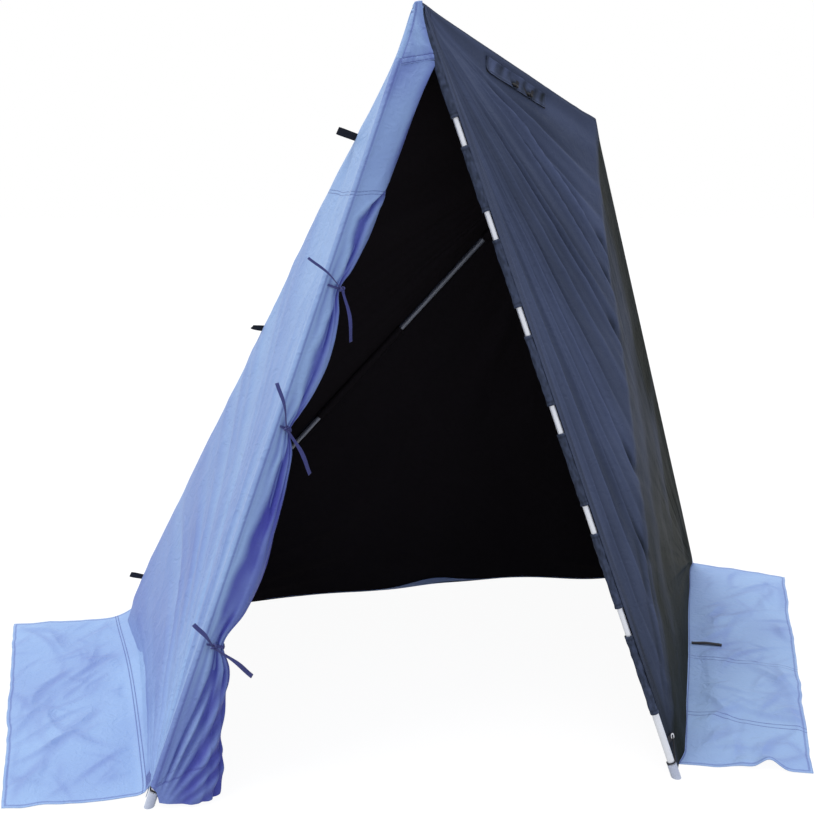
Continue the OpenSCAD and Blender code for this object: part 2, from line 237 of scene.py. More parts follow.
def tube(a, b, start, end, radius, seed, rough=0.0006, fold=0.0):
    """Sleeve round the line a to b: a circle whose radius has crosswise wrinkles of noise and a hem roll
    at each end. Its colour carries painted shade of the given amount, mottled with noise."""
    run = unit(b - a)
    around = 28
    s = np.linspace(start, end, max(8, int((end - start) / 0.004)))[:, None]
    angle = np.linspace(0, FULL_TURN, around, endpoint=False)[None]
    side = unit(np.cross(run, (0.3, 0.5, 0.1)))
    up = np.cross(run, side)
    half = np.abs(angle / FULL_TURN - 0.5)
    r = radius + rough * (noise(s * 55, half * 5, seed) + 0.8 * creases(s * 24, half * 4, seed + 1))
    edge = np.minimum(s - start, end - s)
    r = r + 0.0005 * bell(edge, 0.004, 0.003) - 0.0004 * bell(edge, 0.010, 0.002)
    points = a + push(s, run) + push(r, push(np.cos(angle), side) + push(np.sin(angle), up))
    middle = np.broadcast_to((a + s * run)[:, None], (len(s), 1, 3))
    uv = stacked(s, np.linspace(0, FULL_TURN * radius, around + 1)[None])
    # Painted shade on the sleeve, mottled with noise.
    tone = fold * (1 + 0.35 * noise(s * 95, half * 16, seed + 2))
    hem = 1 + np.broadcast_to(edge - 0.010, r.shape)
    return patch(points, uv=uv, wrap=True, inside=middle, hem=hem, fold=np.clip(tone, 0, 1))


# Materials


def add(tree, kind, inputs=None, **settings):
    """New node with its settings, and its inputs as values or links."""
    made = tree.nodes.new(kind)
    for key, value in settings.items():
        setattr(made, key, value)
    for key, value in (inputs or {}).items():
        if isinstance(value, bpy.types.NodeSocket):
            tree.links.new(value, made.inputs[key])
        else:
            made.inputs[key].default_value = value
    return made


def calc(tree, operation, *values, clamp=False):
    """One step of arithmetic."""
    inputs = dict(enumerate(values))
    return add(tree, "ShaderNodeMath", inputs, operation=operation, use_clamp=clamp).outputs[0]


def largest(tree, first, *others):
    for value in others:
        first = calc(tree, "MAXIMUM", first, value)
    return first


def blend_colours(tree, share, first, second):
    return add(tree, "ShaderNodeMix", {0: share, 6: first, 7: second}, data_type="RGBA").outputs[2]


def group(name, inputs, outputs):
    """Empty node group with named sockets."""
    tree = bpy.data.node_groups.new(name, "ShaderNodeTree")
    for label, kind, value in inputs:
        socket = tree.interface.new_socket(name=label, in_out="INPUT", socket_type="NodeSocket" + kind)
        if value is not None:
            socket.default_value = value
    for label, kind in outputs:
        tree.interface.new_socket(name=label, in_out="OUTPUT", socket_type="NodeSocket" + kind)
    return tree, tree.nodes.new("NodeGroupInput").outputs, tree.nodes.new("NodeGroupOutput").inputs


def use(tree, made, **inputs):
    """Places a group with its values."""
    return add(tree, "ShaderNodeGroup", inputs, node_tree=made).outputs


def weave_group():
    """Plain weave: the product of two sines along the cloth's map, from 0 to 1."""
    sockets = [("Map", "Vector", None), ("Threads", "Float", 900.0)]
    tree, into, out = group("weave", sockets, [("Height", "Float")])
    split = add(tree, "ShaderNodeSeparateXYZ", {0: into["Map"]}).outputs
    waves = [calc(tree, "SINE", calc(tree, "MULTIPLY", split[n], into["Threads"])) for n in (0, 1)]
    product = calc(tree, "MULTIPLY", *waves)
    tree.links.new(calc(tree, "MULTIPLY_ADD", product, 0.5, 0.5), out["Height"])
    return tree


def handling_group():
    """Marks of handling: broad tone, and small creases where noise crosses its middle."""
    tree, into, out = group(
        "handling",
        [("Place", "Vector", None), ("Broad", "Float", 3.0), ("Small", "Float", 28.0)],
        [("Tone", "Float"), ("Crease", "Float")],
    )
    cloud = lambda **inputs: add(tree, "ShaderNodeTexNoise", {"Vector": into["Place"], **inputs}).outputs[0]
    broad = cloud(Scale=into["Broad"], Detail=5.0)
    small = cloud(Scale=into["Small"], Detail=3.0, Distortion=0.6)
    folded = calc(tree, "ABSOLUTE", calc(tree, "SUBTRACT", small, 0.5))
    tree.links.new(broad, out["Tone"])
    sharp = calc(tree, "SUBTRACT", 1.0, calc(tree, "MULTIPLY", folded, 5.0), clamp=True)
    tree.links.new(sharp, out["Crease"])
    return tree


def stitch_group():
    """Two rows of stitches at a gap on both sides of a marked line. The mark is 1 plus the distance from
    the line."""
    tree, into, out = group(
        "stitches",
        [
            ("Mark", "Float", 0.0), ("Map", "Vector", None),
            ("Gap", "Float", 0.004), ("Pitch", "Float", 0.0045),
        ],
        [("Thread", "Float"), ("Groove", "Float")],
    )
    away = calc(tree, "ABSOLUTE", calc(tree, "SUBTRACT", into["Mark"], 1.0))
    row = calc(tree, "ABSOLUTE", calc(tree, "SUBTRACT", away, into["Gap"]))
    split = add(tree, "ShaderNodeSeparateXYZ", {0: into["Map"]}).outputs
    run = calc(tree, "DIVIDE", calc(tree, "ADD", split[0], split[1]), into["Pitch"])
    dash = calc(tree, "LESS_THAN", calc(tree, "FRACT", run), 0.7)
    line = calc(tree, "DIVIDE", calc(tree, "SUBTRACT", 0.0010, row), 0.0004, clamp=True)
    tree.links.new(calc(tree, "MULTIPLY", line, dash), out["Thread"])
    tree.links.new(calc(tree, "SUBTRACT", 1.0, calc(tree, "DIVIDE", row, 0.0032), clamp=True), out["Groove"])
    return tree


WEAVE, HANDLING, STITCHES = weave_group(), handling_group(), stitch_group()


def new_finish(name):
    """New material: itself, its node tree, its shader's inputs, and the places that its patterns read."""
    material = bpy.data.materials.new(name)
    material.use_nodes = True
    tree = material.node_tree
    return material, tree, tree.nodes["Principled BSDF"].inputs, add(tree, "ShaderNodeTexCoord").outputs


def wire(tree, shader, colour, rough, lift):
    """Joins colour, roughness and height to a shader."""
    bump = add(tree, "ShaderNodeBump", {"Height": lift, "Strength": 1.0, "Distance": 1.0})
    for key, value in (("Base Color", colour), ("Roughness", rough), ("Normal", bump.outputs[0])):
        tree.links.new(value, shader[key])


def tinted(tree, colour, shade):
    return add(tree, "ShaderNodeVectorMath", {0: colour, "Scale": shade}, operation="SCALE").outputs[0]


def cloth(name, colour, deep, thread, rough, threads, sheen, specular, crease=0.0010):
    """Coated nylon: tone from handling, painted shade that mixes the colour towards the deep one in folds,
    valleys and shaded parts, painted shade in the seam grooves, stitched rows on the marked lines, and a fine
    weave."""
    material, tree, shader, place = new_finish(name)
    mark = lambda label: add(tree, "ShaderNodeAttribute", attribute_name=label).outputs["Fac"]
    hand = use(tree, HANDLING, Place=place["Object"])
    weave = use(tree, WEAVE, Map=place["UV"], Threads=threads)[0]
    seam, double_seam, hem = (
        use(tree, STITCHES, Mark=mark(label), Map=place["UV"], Gap=gap)
        for label, gap in (("seam", 0.004), ("double_seam", 0.009), ("hem", 0.001))
    )
    faint = calc(tree, "MULTIPLY", hem["Thread"], 0.35)
    stitches = largest(tree, seam["Thread"], double_seam["Thread"], faint)
    groove = largest(tree, seam["Groove"], double_seam["Groove"], hem["Groove"])
    tone = calc(tree, "MULTIPLY_ADD", hand["Tone"], 0.5, -0.25)
    # Painted shade: the mark read here, plus the handling tone, mixes the colour towards the deep colour of
    # the shade.
    depth = calc(tree, "ADD", mark("fold"), calc(tree, "MULTIPLY", tone, 0.7), clamp=True)
    base = blend_colours(tree, depth, (*colour, 1), (*deep, 1))
    # Painted shade in the seam grooves.
    base = blend_colours(tree, calc(tree, "MULTIPLY", groove, 0.35), base, (*deep, 1))
    base = blend_colours(tree, stitches, base, (*thread, 1))
    lift = calc(tree, "MULTIPLY", weave, 0.00010)
    for height, amount in ((hand["Crease"], crease), (groove, -0.0009), (stitches, 0.0003)):
        lift = calc(tree, "MULTIPLY_ADD", height, amount, lift)
    uneven = calc(tree, "MULTIPLY_ADD", hand["Tone"], 0.25, rough - 0.12)
    wire(tree, shader, tinted(tree, base, calc(tree, "MULTIPLY_ADD", weave, 0.10, 0.95)), uneven, lift)
    shader["Sheen Weight"].default_value = sheen
    shader["Sheen Roughness"].default_value = 0.4
    shader["Specular IOR Level"].default_value = specular
    return material


def tape(name, colour, edge, rib, rough):
    """Woven tape: ribs along both of its directions, and a lighter worn tone."""
    material, tree, shader, place = new_finish(name)
    hand = use(tree, HANDLING, Place=place["Object"], Broad=40.0, Small=120.0)
    weave = use(tree, WEAVE, Map=place["UV"], Threads=rib)[0]
    base = blend_colours(tree, calc(tree, "MULTIPLY", hand["Tone"], 0.8), (*colour, 1), (*edge, 1))
    uneven = calc(tree, "MULTIPLY_ADD", hand["Tone"], 0.3, rough - 0.15)
    ribs = calc(tree, "MULTIPLY", weave, 0.0003)
    wire(tree, shader, tinted(tree, base, calc(tree, "MULTIPLY_ADD", weave, 0.6, 0.6)), uneven, ribs)
    shader["Sheen Weight"].default_value = 0.15
    shader["Specular IOR Level"].default_value = 0.25
    return material


def hard(name, colour, worn, rough, metallic, scratch, grain):
    """Metal or moulded plastic: fine grain, a worn tone in broad patches and roughness that follows it."""
    material, tree, shader, place = new_finish(name)
    hand = use(tree, HANDLING, Place=place["Object"], Broad=14.0, Small=scratch)
    grains = {"Vector": place["Object"], "Scale": 900.0, "Detail": 2.0}
    fine = add(tree, "ShaderNodeTexNoise", grains).outputs[0]
    scuffs = calc(tree, "MULTIPLY", hand["Crease"], 0.3)
    wear = calc(tree, "ADD", calc(tree, "MULTIPLY", hand["Tone"], 0.5), scuffs, clamp=True)
    base = blend_colours(tree, wear, (*colour, 1), (*worn, 1))
    uneven = calc(tree, "MULTIPLY_ADD", wear, 0.25, rough - 0.08)
    lift = calc(tree, "MULTIPLY_ADD", hand["Crease"], -0.00004, calc(tree, "MULTIPLY", fine, grain))
    wire(tree, shader, base, uneven, lift)
    shader["Metallic"].default_value = metallic
    return material


# Cloth: colour, painted shade colour in folds, thread, roughness, threads, sheen, specular level and height
# of creases
BLUE = cloth(
    "blue_nylon", (0.355, 0.510, 0.745), (0.068, 0.070, 0.390), (0.085, 0.100, 0.310),
    0.55, 4200.0, 0.06, 0.28, 0.0014,
)
BLACK = cloth(
    "black_nylon", (0.122, 0.149, 0.225), (0.014, 0.017, 0.013), (0.050, 0.060, 0.092),
    0.66, 4200.0, 0.0, 0.05, 0.0013,
)
LINING = cloth(
    "black_lining", (0.0220, 0.0180, 0.0190), (0.0150, 0.0125, 0.0130), (0.022, 0.020, 0.021),
    0.92, 3000.0, 0.0, 0.04,
)
# Tape: colour, worn colour, ribs and roughness
WEBBING = tape("black_webbing", (0.010, 0.010, 0.013), (0.030, 0.030, 0.036), 2600.0, 0.8)
RIBBON = tape("violet_tape", (0.070, 0.076, 0.240), (0.120, 0.130, 0.360), 5200.0, 0.7)
ELASTIC = tape("black_elastic", (0.010, 0.010, 0.011), (0.028, 0.028, 0.030), 6000.0, 0.75)
MESH = tape("vent_net", (0.008, 0.008, 0.009), (0.026, 0.026, 0.028), 4200.0, 0.85)
# Metal and mouldings: colour, worn colour, roughness, metallic, size of scuffs and height of grain
TUBE = hard("silver_tube", (0.97, 0.97, 0.93), (0.84, 0.85, 0.83), 0.36, 0.30, 160.0, 0.000010)
# Painted shade: a darker, dimmer copy of the pole tube's finish for the rear left poles inside the tent.
SHADED_TUBE = hard("shaded_tube", (0.30, 0.32, 0.37), (0.20, 0.215, 0.25), 0.45, 0.35, 160.0, 0.000010)
SPIGOT = hard("drawn_rod", (0.60, 0.61, 0.63), (0.42, 0.43, 0.45), 0.34, 1.0, 120.0, 0.000010)
EYELET = hard("nickel", (0.72, 0.72, 0.74), (0.50, 0.50, 0.52), 0.22, 1.0, 200.0, 0.000004)
CONNECTOR = hard("black_moulding", (0.022, 0.022, 0.025), (0.050, 0.050, 0.054), 0.55, 0.0, 90.0, 0.00004)
TOGGLE = hard("toggle_moulding", (0.006, 0.006, 0.008), (0.018, 0.018, 0.021), 0.55, 0.0, 140.0, 0.000015)
FOOT = hard("pale_moulding", (0.76, 0.80, 0.84), (0.55, 0.58, 0.61), 0.45, 0.0, 80.0, 0.00003)

FINISHES = {
    "pole_tube": TUBE, "spigot_metal": SPIGOT, "eyelet_metal": EYELET, "connector_plastic": CONNECTOR,
    "foot_plastic": FOOT, "vent_mesh": MESH, "webbing": WEBBING, "ribbon": RIBBON, "toggle_plastic": TOGGLE,
    "blue_cloth": BLUE, "black_cloth": BLACK,
}
for part in frame["record"]["subparts"]:
    finish = FINISHES.get(part["material_slot"])
    # The rear left tubes get the darker copy of the tube finish, which paints the shade inside the tent on
    # them.
    if part["node"] in ("rear_left_upper_tube", "rear_left_lower_tube"):
        finish = SHADED_TUBE
    cad = frame["nodes"].get(part["node"])
    if finish and cad:
        for place in cad.material_slots:
            place.material = finish


# Camera at the photograph's angle


def photo_camera():
    sensor, frame_height, focal, below_middle = 36, 816, 940, 30
    data = bpy.data.cameras.new("photo_camera")
    data.sensor_width, data.lens = sensor, sensor * focal / frame_height
    data.shift_y = -below_middle / frame_height
    data.clip_end = 200
    camera = link("photo_camera", data)
    camera.location, camera.rotation_euler = (-0.0665, -3.106, 1.52), (np.radians(79), 0, 0)
    bpy.context.scene.camera = camera


photo_camera()


# Walls


def distance(a, b):
    return float(np.linalg.norm(b - a))


def fan(a, c0, c1, d, start, reach, rows_a, rows_d, cols, bias=1.0):
    """Lines from corner a to points on the crease c0 to c1, then on towards corner d. u runs from 0 at a
    through 1 on the crease to 2 at d, and v along the crease, closer near its start with a bias."""
    v = np.linspace(0, 1, cols) ** bias
    crease = c0 + (c1 - c0) * v[:, None]
    u1, u2 = np.linspace(start, 1, rows_a), np.linspace(0, reach, rows_d)[1:]
    near = a + u1[:, None, None] * (crease - a)
    far = crease + u2[:, None, None] * (d - crease)
    u = np.r_[u1, 1 + u2][:, None] * np.ones(cols)
    return np.concatenate([near, far]), u, np.broadcast_to(v, u.shape)


def over_crease(first, second, u):
    """Normals of two panels, turned from the first to the second across the crease at u = 1."""
    return unit(first + push(ease(u, 0.985, 1.015), second - first))


def flat_map(points, a, b, normal):
    """Map of a sheet in metres: along a to b, and across it."""
    run = unit(b - a)
    return np.stack([(points - a) @ run, (points - a) @ np.cross(normal, run)], -1)


def base_line(a, b):
    """Level direction to the left of the line a to b, and the line's length."""
    run = b - a
    return unit(np.array((-run[1], run[0], 0.0))), distance(a, b)


LEFT_OUT, LEFT_BASE = base_line(FRONT_LEFT, REAR_LEFT)
RIGHT_IN, RIGHT_BASE = base_line(FRONT_RIGHT, REAR_RIGHT)
RIGHT_OUT = -RIGHT_IN
REAR_OUT, REAR_BASE = base_line(REAR_LEFT, REAR_RIGHT)
# Normals of the flat panels that the walls are made of
LEFT_FRONT_PANEL = outward(FRONT_LEFT, FRONT_APEX, REAR_LEFT)
LEFT_REAR_PANEL = outward(FRONT_APEX, REAR_LEFT, REAR_APEX)
RIGHT_FRONT_PANEL = outward(FRONT_APEX, FRONT_RIGHT, REAR_APEX)
RIGHT_REAR_PANEL = outward(REAR_APEX, FRONT_RIGHT, REAR_RIGHT)
BACK_PANEL = outward(REAR_APEX, REAR_LEFT, REAR_RIGHT)
# How far up its pole each corner's tab sits
TAB_UP = 0.096


def near_ground(z):
    """Share of the folds at a height: a quarter on the ground, and all of them from 9 cm up."""
    return 0.25 + 0.75 * ease(z, WALL_LOW, 0.09)


def round_crease(crease):
    """How far a rounded crease stands under a sharp one: a hyperbola less its straight arm."""
    return 0.16 * (np.sqrt(crease**2 + 0.010**2) - crease)


def left_belly(down):
    """How far the left wall's crease stands out, down the crease from the front apex."""
    places = (0.0, 0.35, 0.75, 1.2, 1.7, 2.05, 2.35)
    return np.interp(down, places, (0.0, 0.015, 0.018, 0.022, 0.034, 0.042, 0.046))


def left_swell(points):
    """How far the left wall stands out round its crease: the belly, fading towards the poles and the
    ridge."""
    pole, _ = off_line(points, FRONT_LEFT, FRONT_APEX)
    ridge, _ = off_line(points, FRONT_APEX, REAR_APEX)
    back, _ = off_line(points, REAR_LEFT, REAR_APEX)
    crease, down = off_line(points, FRONT_APEX, REAR_LEFT)
    fade = ease(pole, 0.04, 0.30) * ease(ridge, 0.03, 0.20) * (0.35 + 0.65 * ease(back, 0.0, 0.10))
    return left_belly(down) * bell(crease, 0, 0.30) * fade


def right_base(along):
    """How far the right wall's base stands out, along it from the front right foot."""
    return 0.018 * (ease(along, 0.03, 0.13) - ease(along, 0.35, RIGHT_BASE)) + 0.001 * np.sin(along * 11)


def over_apex(points):
    """How much further the cloth stands off at the mouldings of both apexes."""
    away = (np.linalg.norm(points - apex, axis=-1) for apex in (FRONT_APEX, REAR_APEX))
    return 0.0034 * sum(bell(r, 0, 0.045) for r in away)


def binding(a, b, first, second, start, end, swell=None):
    """Cloth over a pole between two walls: an arc from the first wall's normal to the second's, along the
    line a to b. Its first edge follows the swell of that wall."""
    low, high = -0.7, 1.4
    s = np.linspace(start, end, int((end - start) / 0.008))[:, None]
    t = np.linspace(low, high, 24)[None]
    ray = unit(first + push(t, second - first))
    line = a + unit(b - a) * s
    points = line[:, None] + push(OVER_POLE + 0.0004 * noise(s * 30, t * 2, 75), ray)
    lift = over_apex(points)
    if swell:
        lift = lift + swell(line)[:, None] * (1 - np.clip(t, 0, 1)) ** 2
    edge = np.minimum(t - low, high - t) * 0.018
    # Painted shade of 0.4 over the whole binding.
    return patch(points + push(lift, ray), inside=line[:, None], hem=1 + edge - 0.010, fold=0.4)


def left_wall():
    """Fan from the front left foot over the crease to the rear apex. It stands off its flat panels by
    long soft folds, gathers that run out of the foot, a belly along the crease, and the poles that it
    lies over."""
    points, u, v = fan(
        FRONT_LEFT + LIFT, FRONT_APEX, REAR_LEFT + LIFT, REAR_APEX,
        start=0.022, reach=0.985, rows_a=124, rows_d=56, cols=200,
    )
    pole, _ = off_line(points, FRONT_LEFT, FRONT_APEX)
    ridge, _ = off_line(points, FRONT_APEX, REAR_APEX)
    back, back_up = off_line(points, REAR_LEFT, REAR_APEX)
    crease, _ = off_line(points, FRONT_APEX, REAR_LEFT)
    reach = np.linalg.norm(points - FRONT_LEFT, axis=-1)
    y, z = points[..., 1], points[..., 2]
    gathers = noise(v * 36 + 0.5 * noise(v * 9, reach * 4, 10), reach * 1.3, 11)
    streaks = noise(v * 15, reach * 1.1, 12) + 0.6 * noise(v * 41, reach * 1.7, 16)
    height = 0.0085 * gathers * ease(reach, 0.05, 0.16) * (1 - ease(reach, 0.5, 1.3))
    height += 0.0046 * streaks * ease(reach, 0.25, 0.7) + 0.0070 * noise(y * 2.6, z * 2.0, 13)
    height += 0.0024 * creases(y * 9, z * 7, 14) + 0.0012 * noise(y * 24, z * 16, 15)
    nearest = np.minimum.reduce([pole, ridge, back])
    height *= ease(nearest, 0.010, 0.090) * near_ground(z) * (0.4 + 0.6 * ease(crease, 0.0, 0.06))
    over_back = bell(back, 0, 0.040) * ease(back_up, 0.13, 0.22)
    height += OVER_POLE * np.maximum.reduce([bell(pole, 0, 0.040), bell(ridge, 0, 0.03), over_back])
    height += left_swell(points) + over_apex(points) - round_crease(crease)
    height -= 0.0012 * bell(z, SEAM_Z, 0.004) * (u < 1)
    points = points + push(height, over_crease(LEFT_FRONT_PANEL, LEFT_REAR_PANEL, u))
    points[..., 2] = np.maximum(points[..., 2], WALL_LOW)
    # Painted shade: darker in the gathers and streaks, and towards the bottom, more so away from the front
    # pole and along the crease.
    low = 1 - ease(z, 0.1, 1.3)
    fold = 0.08 + 0.13 * streaks + 0.20 * gathers * (1 - ease(reach, 0.4, 1.4))
    fold += low * (0.04 + 0.22 * ease(pole, 0.05, 0.50) + 0.16 * bell(crease, 0, 0.08))
    level = np.where(u < 1, 2.2 * (z - SEAM_Z + 0.003 * noise(pole * 20, z * 0, 17)), 1)
    uv = flat_map(points, FRONT_LEFT, FRONT_APEX, LEFT_FRONT_PANEL)
    return piece(
        "left_wall_cloth",
        [patch(points, uv=uv, inside=INSIDE, double_seam=1 + level, fold=np.clip(fold, 0, 1))],
        [BLUE, LINING], WALL_THICK,
    )


# Folds of the right wall: place along its crease from the foot, height and width
RIGHT_FOLDS = (
    (0.880, 0.006, 0.010), (0.820, 0.007, 0.010), (0.766, 0.011, 0.011), (0.706, 0.011, 0.011),
    (0.660, 0.005, 0.009), (0.622, 0.010, 0.012), (0.555, 0.006, 0.011), (0.480, 0.006, 0.010),
    (0.412, 0.010, 0.012), (0.345, 0.005, 0.011), (0.283, 0.009, 0.012), (0.200, 0.005, 0.011),
    (0.120, 0.004, 0.011),
)


def right_wall():
    """Fan from the front apex over the crease to the rear right foot. Folds run out from the apex to
    pinches on the crease, finer ones gather at the front right foot, lines follow the crease beyond it,
    and the base stands out a little."""
    points, u, v = fan(
        FRONT_APEX, FRONT_RIGHT + LIFT, REAR_APEX, REAR_RIGHT + LIFT,
        start=0.012, reach=0.985, rows_a=130, rows_d=64, cols=240, bias=1.3,
    )
    pole, pole_up = off_line(points, FRONT_RIGHT, FRONT_APEX)
    ridge, ridge_along = off_line(points, FRONT_APEX, REAR_APEX)
    back, _ = off_line(points, REAR_RIGHT, REAR_APEX)
    crease, _ = off_line(points, FRONT_RIGHT, REAR_APEX)
    reach = np.linalg.norm(points - FRONT_RIGHT, axis=-1)
    y, z = points[..., 1], points[..., 2]
    height = 0.0045 * noise(v * 19, u * 1.8, 21) + 0.0070 * noise(v * 6, u * 1.5, 22)
    height += 0.0022 * creases(y * 11, z * 9, 23) + 0.0014 * noise(v * 60, u * 5, 24)
    # Painted light and shade on the fold lines: this tone is higher on their ridges, lower in their valleys
    # and at the pinches, and the higher it is, the lighter the colour.
    tone = 0.5 * noise(v * 25, u * 1.4, 29)
    reaches = ease(u, 0.15, 0.60) * (1 - 0.82 * ease(u, 0.80, 0.99)) * (1 - ease(u, 1.05, 1.3))
    shaded = np.maximum(reaches, 0.6 * ease(u, 0.3, 0.6) * (u < 1))
    for place, tall, wide in RIGHT_FOLDS:
        drift = v - place + (0.012 * noise(u * 3, place * 9, 25) - 0.10 * (0.7 < place < 0.8)) * (1 - u)
        line = bell(drift, 0, 0.7 * wide) - 0.7 * bell(drift, 1.5 * wide, wide)
        pinch = bell(drift, 1.5 * wide, 0.009) * bell(u, 0.985, 0.035) * (tall > 0.008)
        height += 1.2 * tall * line * reaches - 0.014 * pinch
        tone += 95 * tall * line * shaded - 1.4 * pinch
    beyond = ease(u, 1.0, 1.04)
    rays = noise(np.arctan2(crease, np.maximum(reach, TINY)) * 26, reach * 2, 26)
    rays = rays * ease(reach, 0.10, 0.30) * (1 - ease(reach, 0.45, 0.95)) * (1 - 0.8 * beyond)
    lines = noise((u - 1) * 11 + 0.4 * v, v * 0.9, 27) * beyond
    height += 0.0040 * rays + 0.0030 * lines
    vent_run = ease(ridge_along, 0.236, 0.262) * (1 - ease(ridge_along, 0.522, 0.548))
    at_vent = vent_run * (1 - ease(ridge, 0.072, 0.11)) * (u < 1)
    nearest = np.minimum.reduce([pole, ridge, back])
    height *= ease(nearest, 0.010, 0.075) * near_ground(z) * (1 - at_vent)
    over_pole = bell(pole, 0, 0.034) * ease(pole_up, 0.10, 0.24)
    over_ridge = bell(ridge, 0, 0.024) * (1 - at_vent * ease(ridge, 0.010, 0.0155))
    height += OVER_POLE * np.maximum.reduce([over_pole, bell(back, 0, 0.040), over_ridge])
    height += over_apex(points) - round_crease(crease)
    height -= 0.0035 * bell(pole_up, TAB_UP, 0.030) * bell(pole, 0.030, 0.030)
    points = points + push(height, over_crease(RIGHT_FRONT_PANEL, RIGHT_REAR_PANEL, u))
    pole_run = unit(FRONT_APEX - FRONT_RIGHT)
    inward = REAR_APEX - FRONT_RIGHT
    inward = unit(inward - (inward @ pole_run) * pole_run)
    points = points + push(0.0125 * (1 - ease(pole_up, 0.04, 0.26)) * bell(pole, 0, 0.06), inward)
    base_along = (points - FRONT_RIGHT) @ unit(REAR_RIGHT - FRONT_RIGHT)
    points = points + push(right_base(base_along) * (1 - ease(z, 0.0, 0.50)) * (u > 0.9), RIGHT_OUT)
    points[..., 2] = np.maximum(points[..., 2] + 0.004 * bell(reach, 0, 0.07), WALL_LOW)
    # Painted shade: lighter on ridges and rays, darker towards the bottom, and darker on the panel beyond the
    # crease, most of all near the rear pole.
    fold = 0.38 - 0.30 * tone * (1 - beyond) - 0.25 * rays + 0.42 * (1 - ease(z, 0.0, 0.9))
    fold += beyond * (0.32 + 0.34 * (1 - ease(back, 0.03, 0.20)) - 0.14 * lines)
    hem = np.where(u > 1, crease - 0.012, 1)
    marks = dict(seam=1 + pole - 0.020, hem=1 + hem, fold=np.clip(fold, 0, 1))
    uv = flat_map(points, FRONT_RIGHT, FRONT_APEX, RIGHT_FRONT_PANEL)
    return piece(
        "right_wall_cloth", [patch(points, uv=uv, inside=INSIDE, **marks)],
        [BLACK, LINING], WALL_THICK,
    )


def base_bulge(share):
    """How far the back wall's base stands into the tent, along the base from the rear left foot."""
    ends = ease(share, 0.03, 0.12) * (1 - ease(share, 0.88, 0.97))
    return 0.070 * bell(share, 0.80, 0.10) + 0.012 * np.sin(share * 17) * ends


def back_wall():
    """Fan from the rear apex to the base, swelling slowly, with a base that bulges into the tent near its
    right end and is a little raised near its middle."""
    u = np.linspace(0.012, 1, 130)[:, None]
    v = np.linspace(0, 1, 190)[None]
    base = REAR_LEFT + LIFT + push(v, REAR_RIGHT - REAR_LEFT)
    points = REAR_APEX + push(u, base - REAR_APEX)
    left, left_up = off_line(points, REAR_LEFT, REAR_APEX)
    right, right_up = off_line(points, REAR_RIGHT, REAR_APEX)
    nearest = np.minimum(left, right)
    x, z = points[..., 0], points[..., 2]
    height = 0.0120 * noise(x * 2.2, z * 1.8, 31) + 0.0070 * noise(v * 16, u * 2.4, 32)
    height += 0.0030 * creases(x * 8, z * 7, 33)
    for corner, line, seed in ((REAR_LEFT, left, 34), (REAR_RIGHT, right, 35)):
        reach = np.linalg.norm(points - corner, axis=-1)
        rays = noise(line / np.maximum(reach, TINY) * 40, reach * 1.5, seed)
        height += 0.0060 * rays * ease(reach, 0.06, 0.2) * (1 - ease(reach, 0.5, 1.05))
    height *= ease(nearest, 0.010, 0.090) * near_ground(z)
    over_left = bell(left, 0, 0.034) * ease(left_up, 0.13, 0.22)
    over_right = bell(right, 0, 0.034) * ease(right_up, 0.13, 0.22)
    height += OVER_POLE * np.maximum.reduce([over_left, bell(right, 0, 0.012), over_right])
    height += over_apex(points)
    points = points + push(height, BACK_PANEL)
    bulge = base_bulge(v) * (1 - ease(z, 0.0, 0.55)) * ease(nearest, 0.01, 0.12)
    points[..., :2] -= push(bulge, unit(BACK_PANEL[:2]))
    points[..., 2] += 0.010 * bell(v, 0.50, 0.05) * (1 - ease(z, 0.0, 0.25))
    points[..., 2] = np.maximum(points[..., 2], WALL_LOW)
    # Painted shade: darker where the cloth stands less far out, in the valleys of its folds, and lighter on
    # ridges and over the poles.
    fold = np.clip(0.40 - 16 * (height - 0.004), 0, 1)
    uv = flat_map(points, REAR_LEFT, REAR_APEX, BACK_PANEL)
    left_pole, right_pole = distance(REAR_LEFT, REAR_APEX), distance(REAR_RIGHT, REAR_APEX)
    return piece(
        "back_wall_cloth",
        [
            patch(points, uv=uv, inside=INSIDE, seam=1 + nearest - 0.020, hem=1 + z - 0.020, fold=fold),
            binding(REAR_LEFT, REAR_APEX, LEFT_REAR_PANEL, BACK_PANEL, 0.17, left_pole, left_swell),
            binding(REAR_RIGHT, REAR_APEX, RIGHT_REAR_PANEL, BACK_PANEL, 0.03, right_pole),
        ],
        [BLACK, LINING], WALL_THICK,
    )


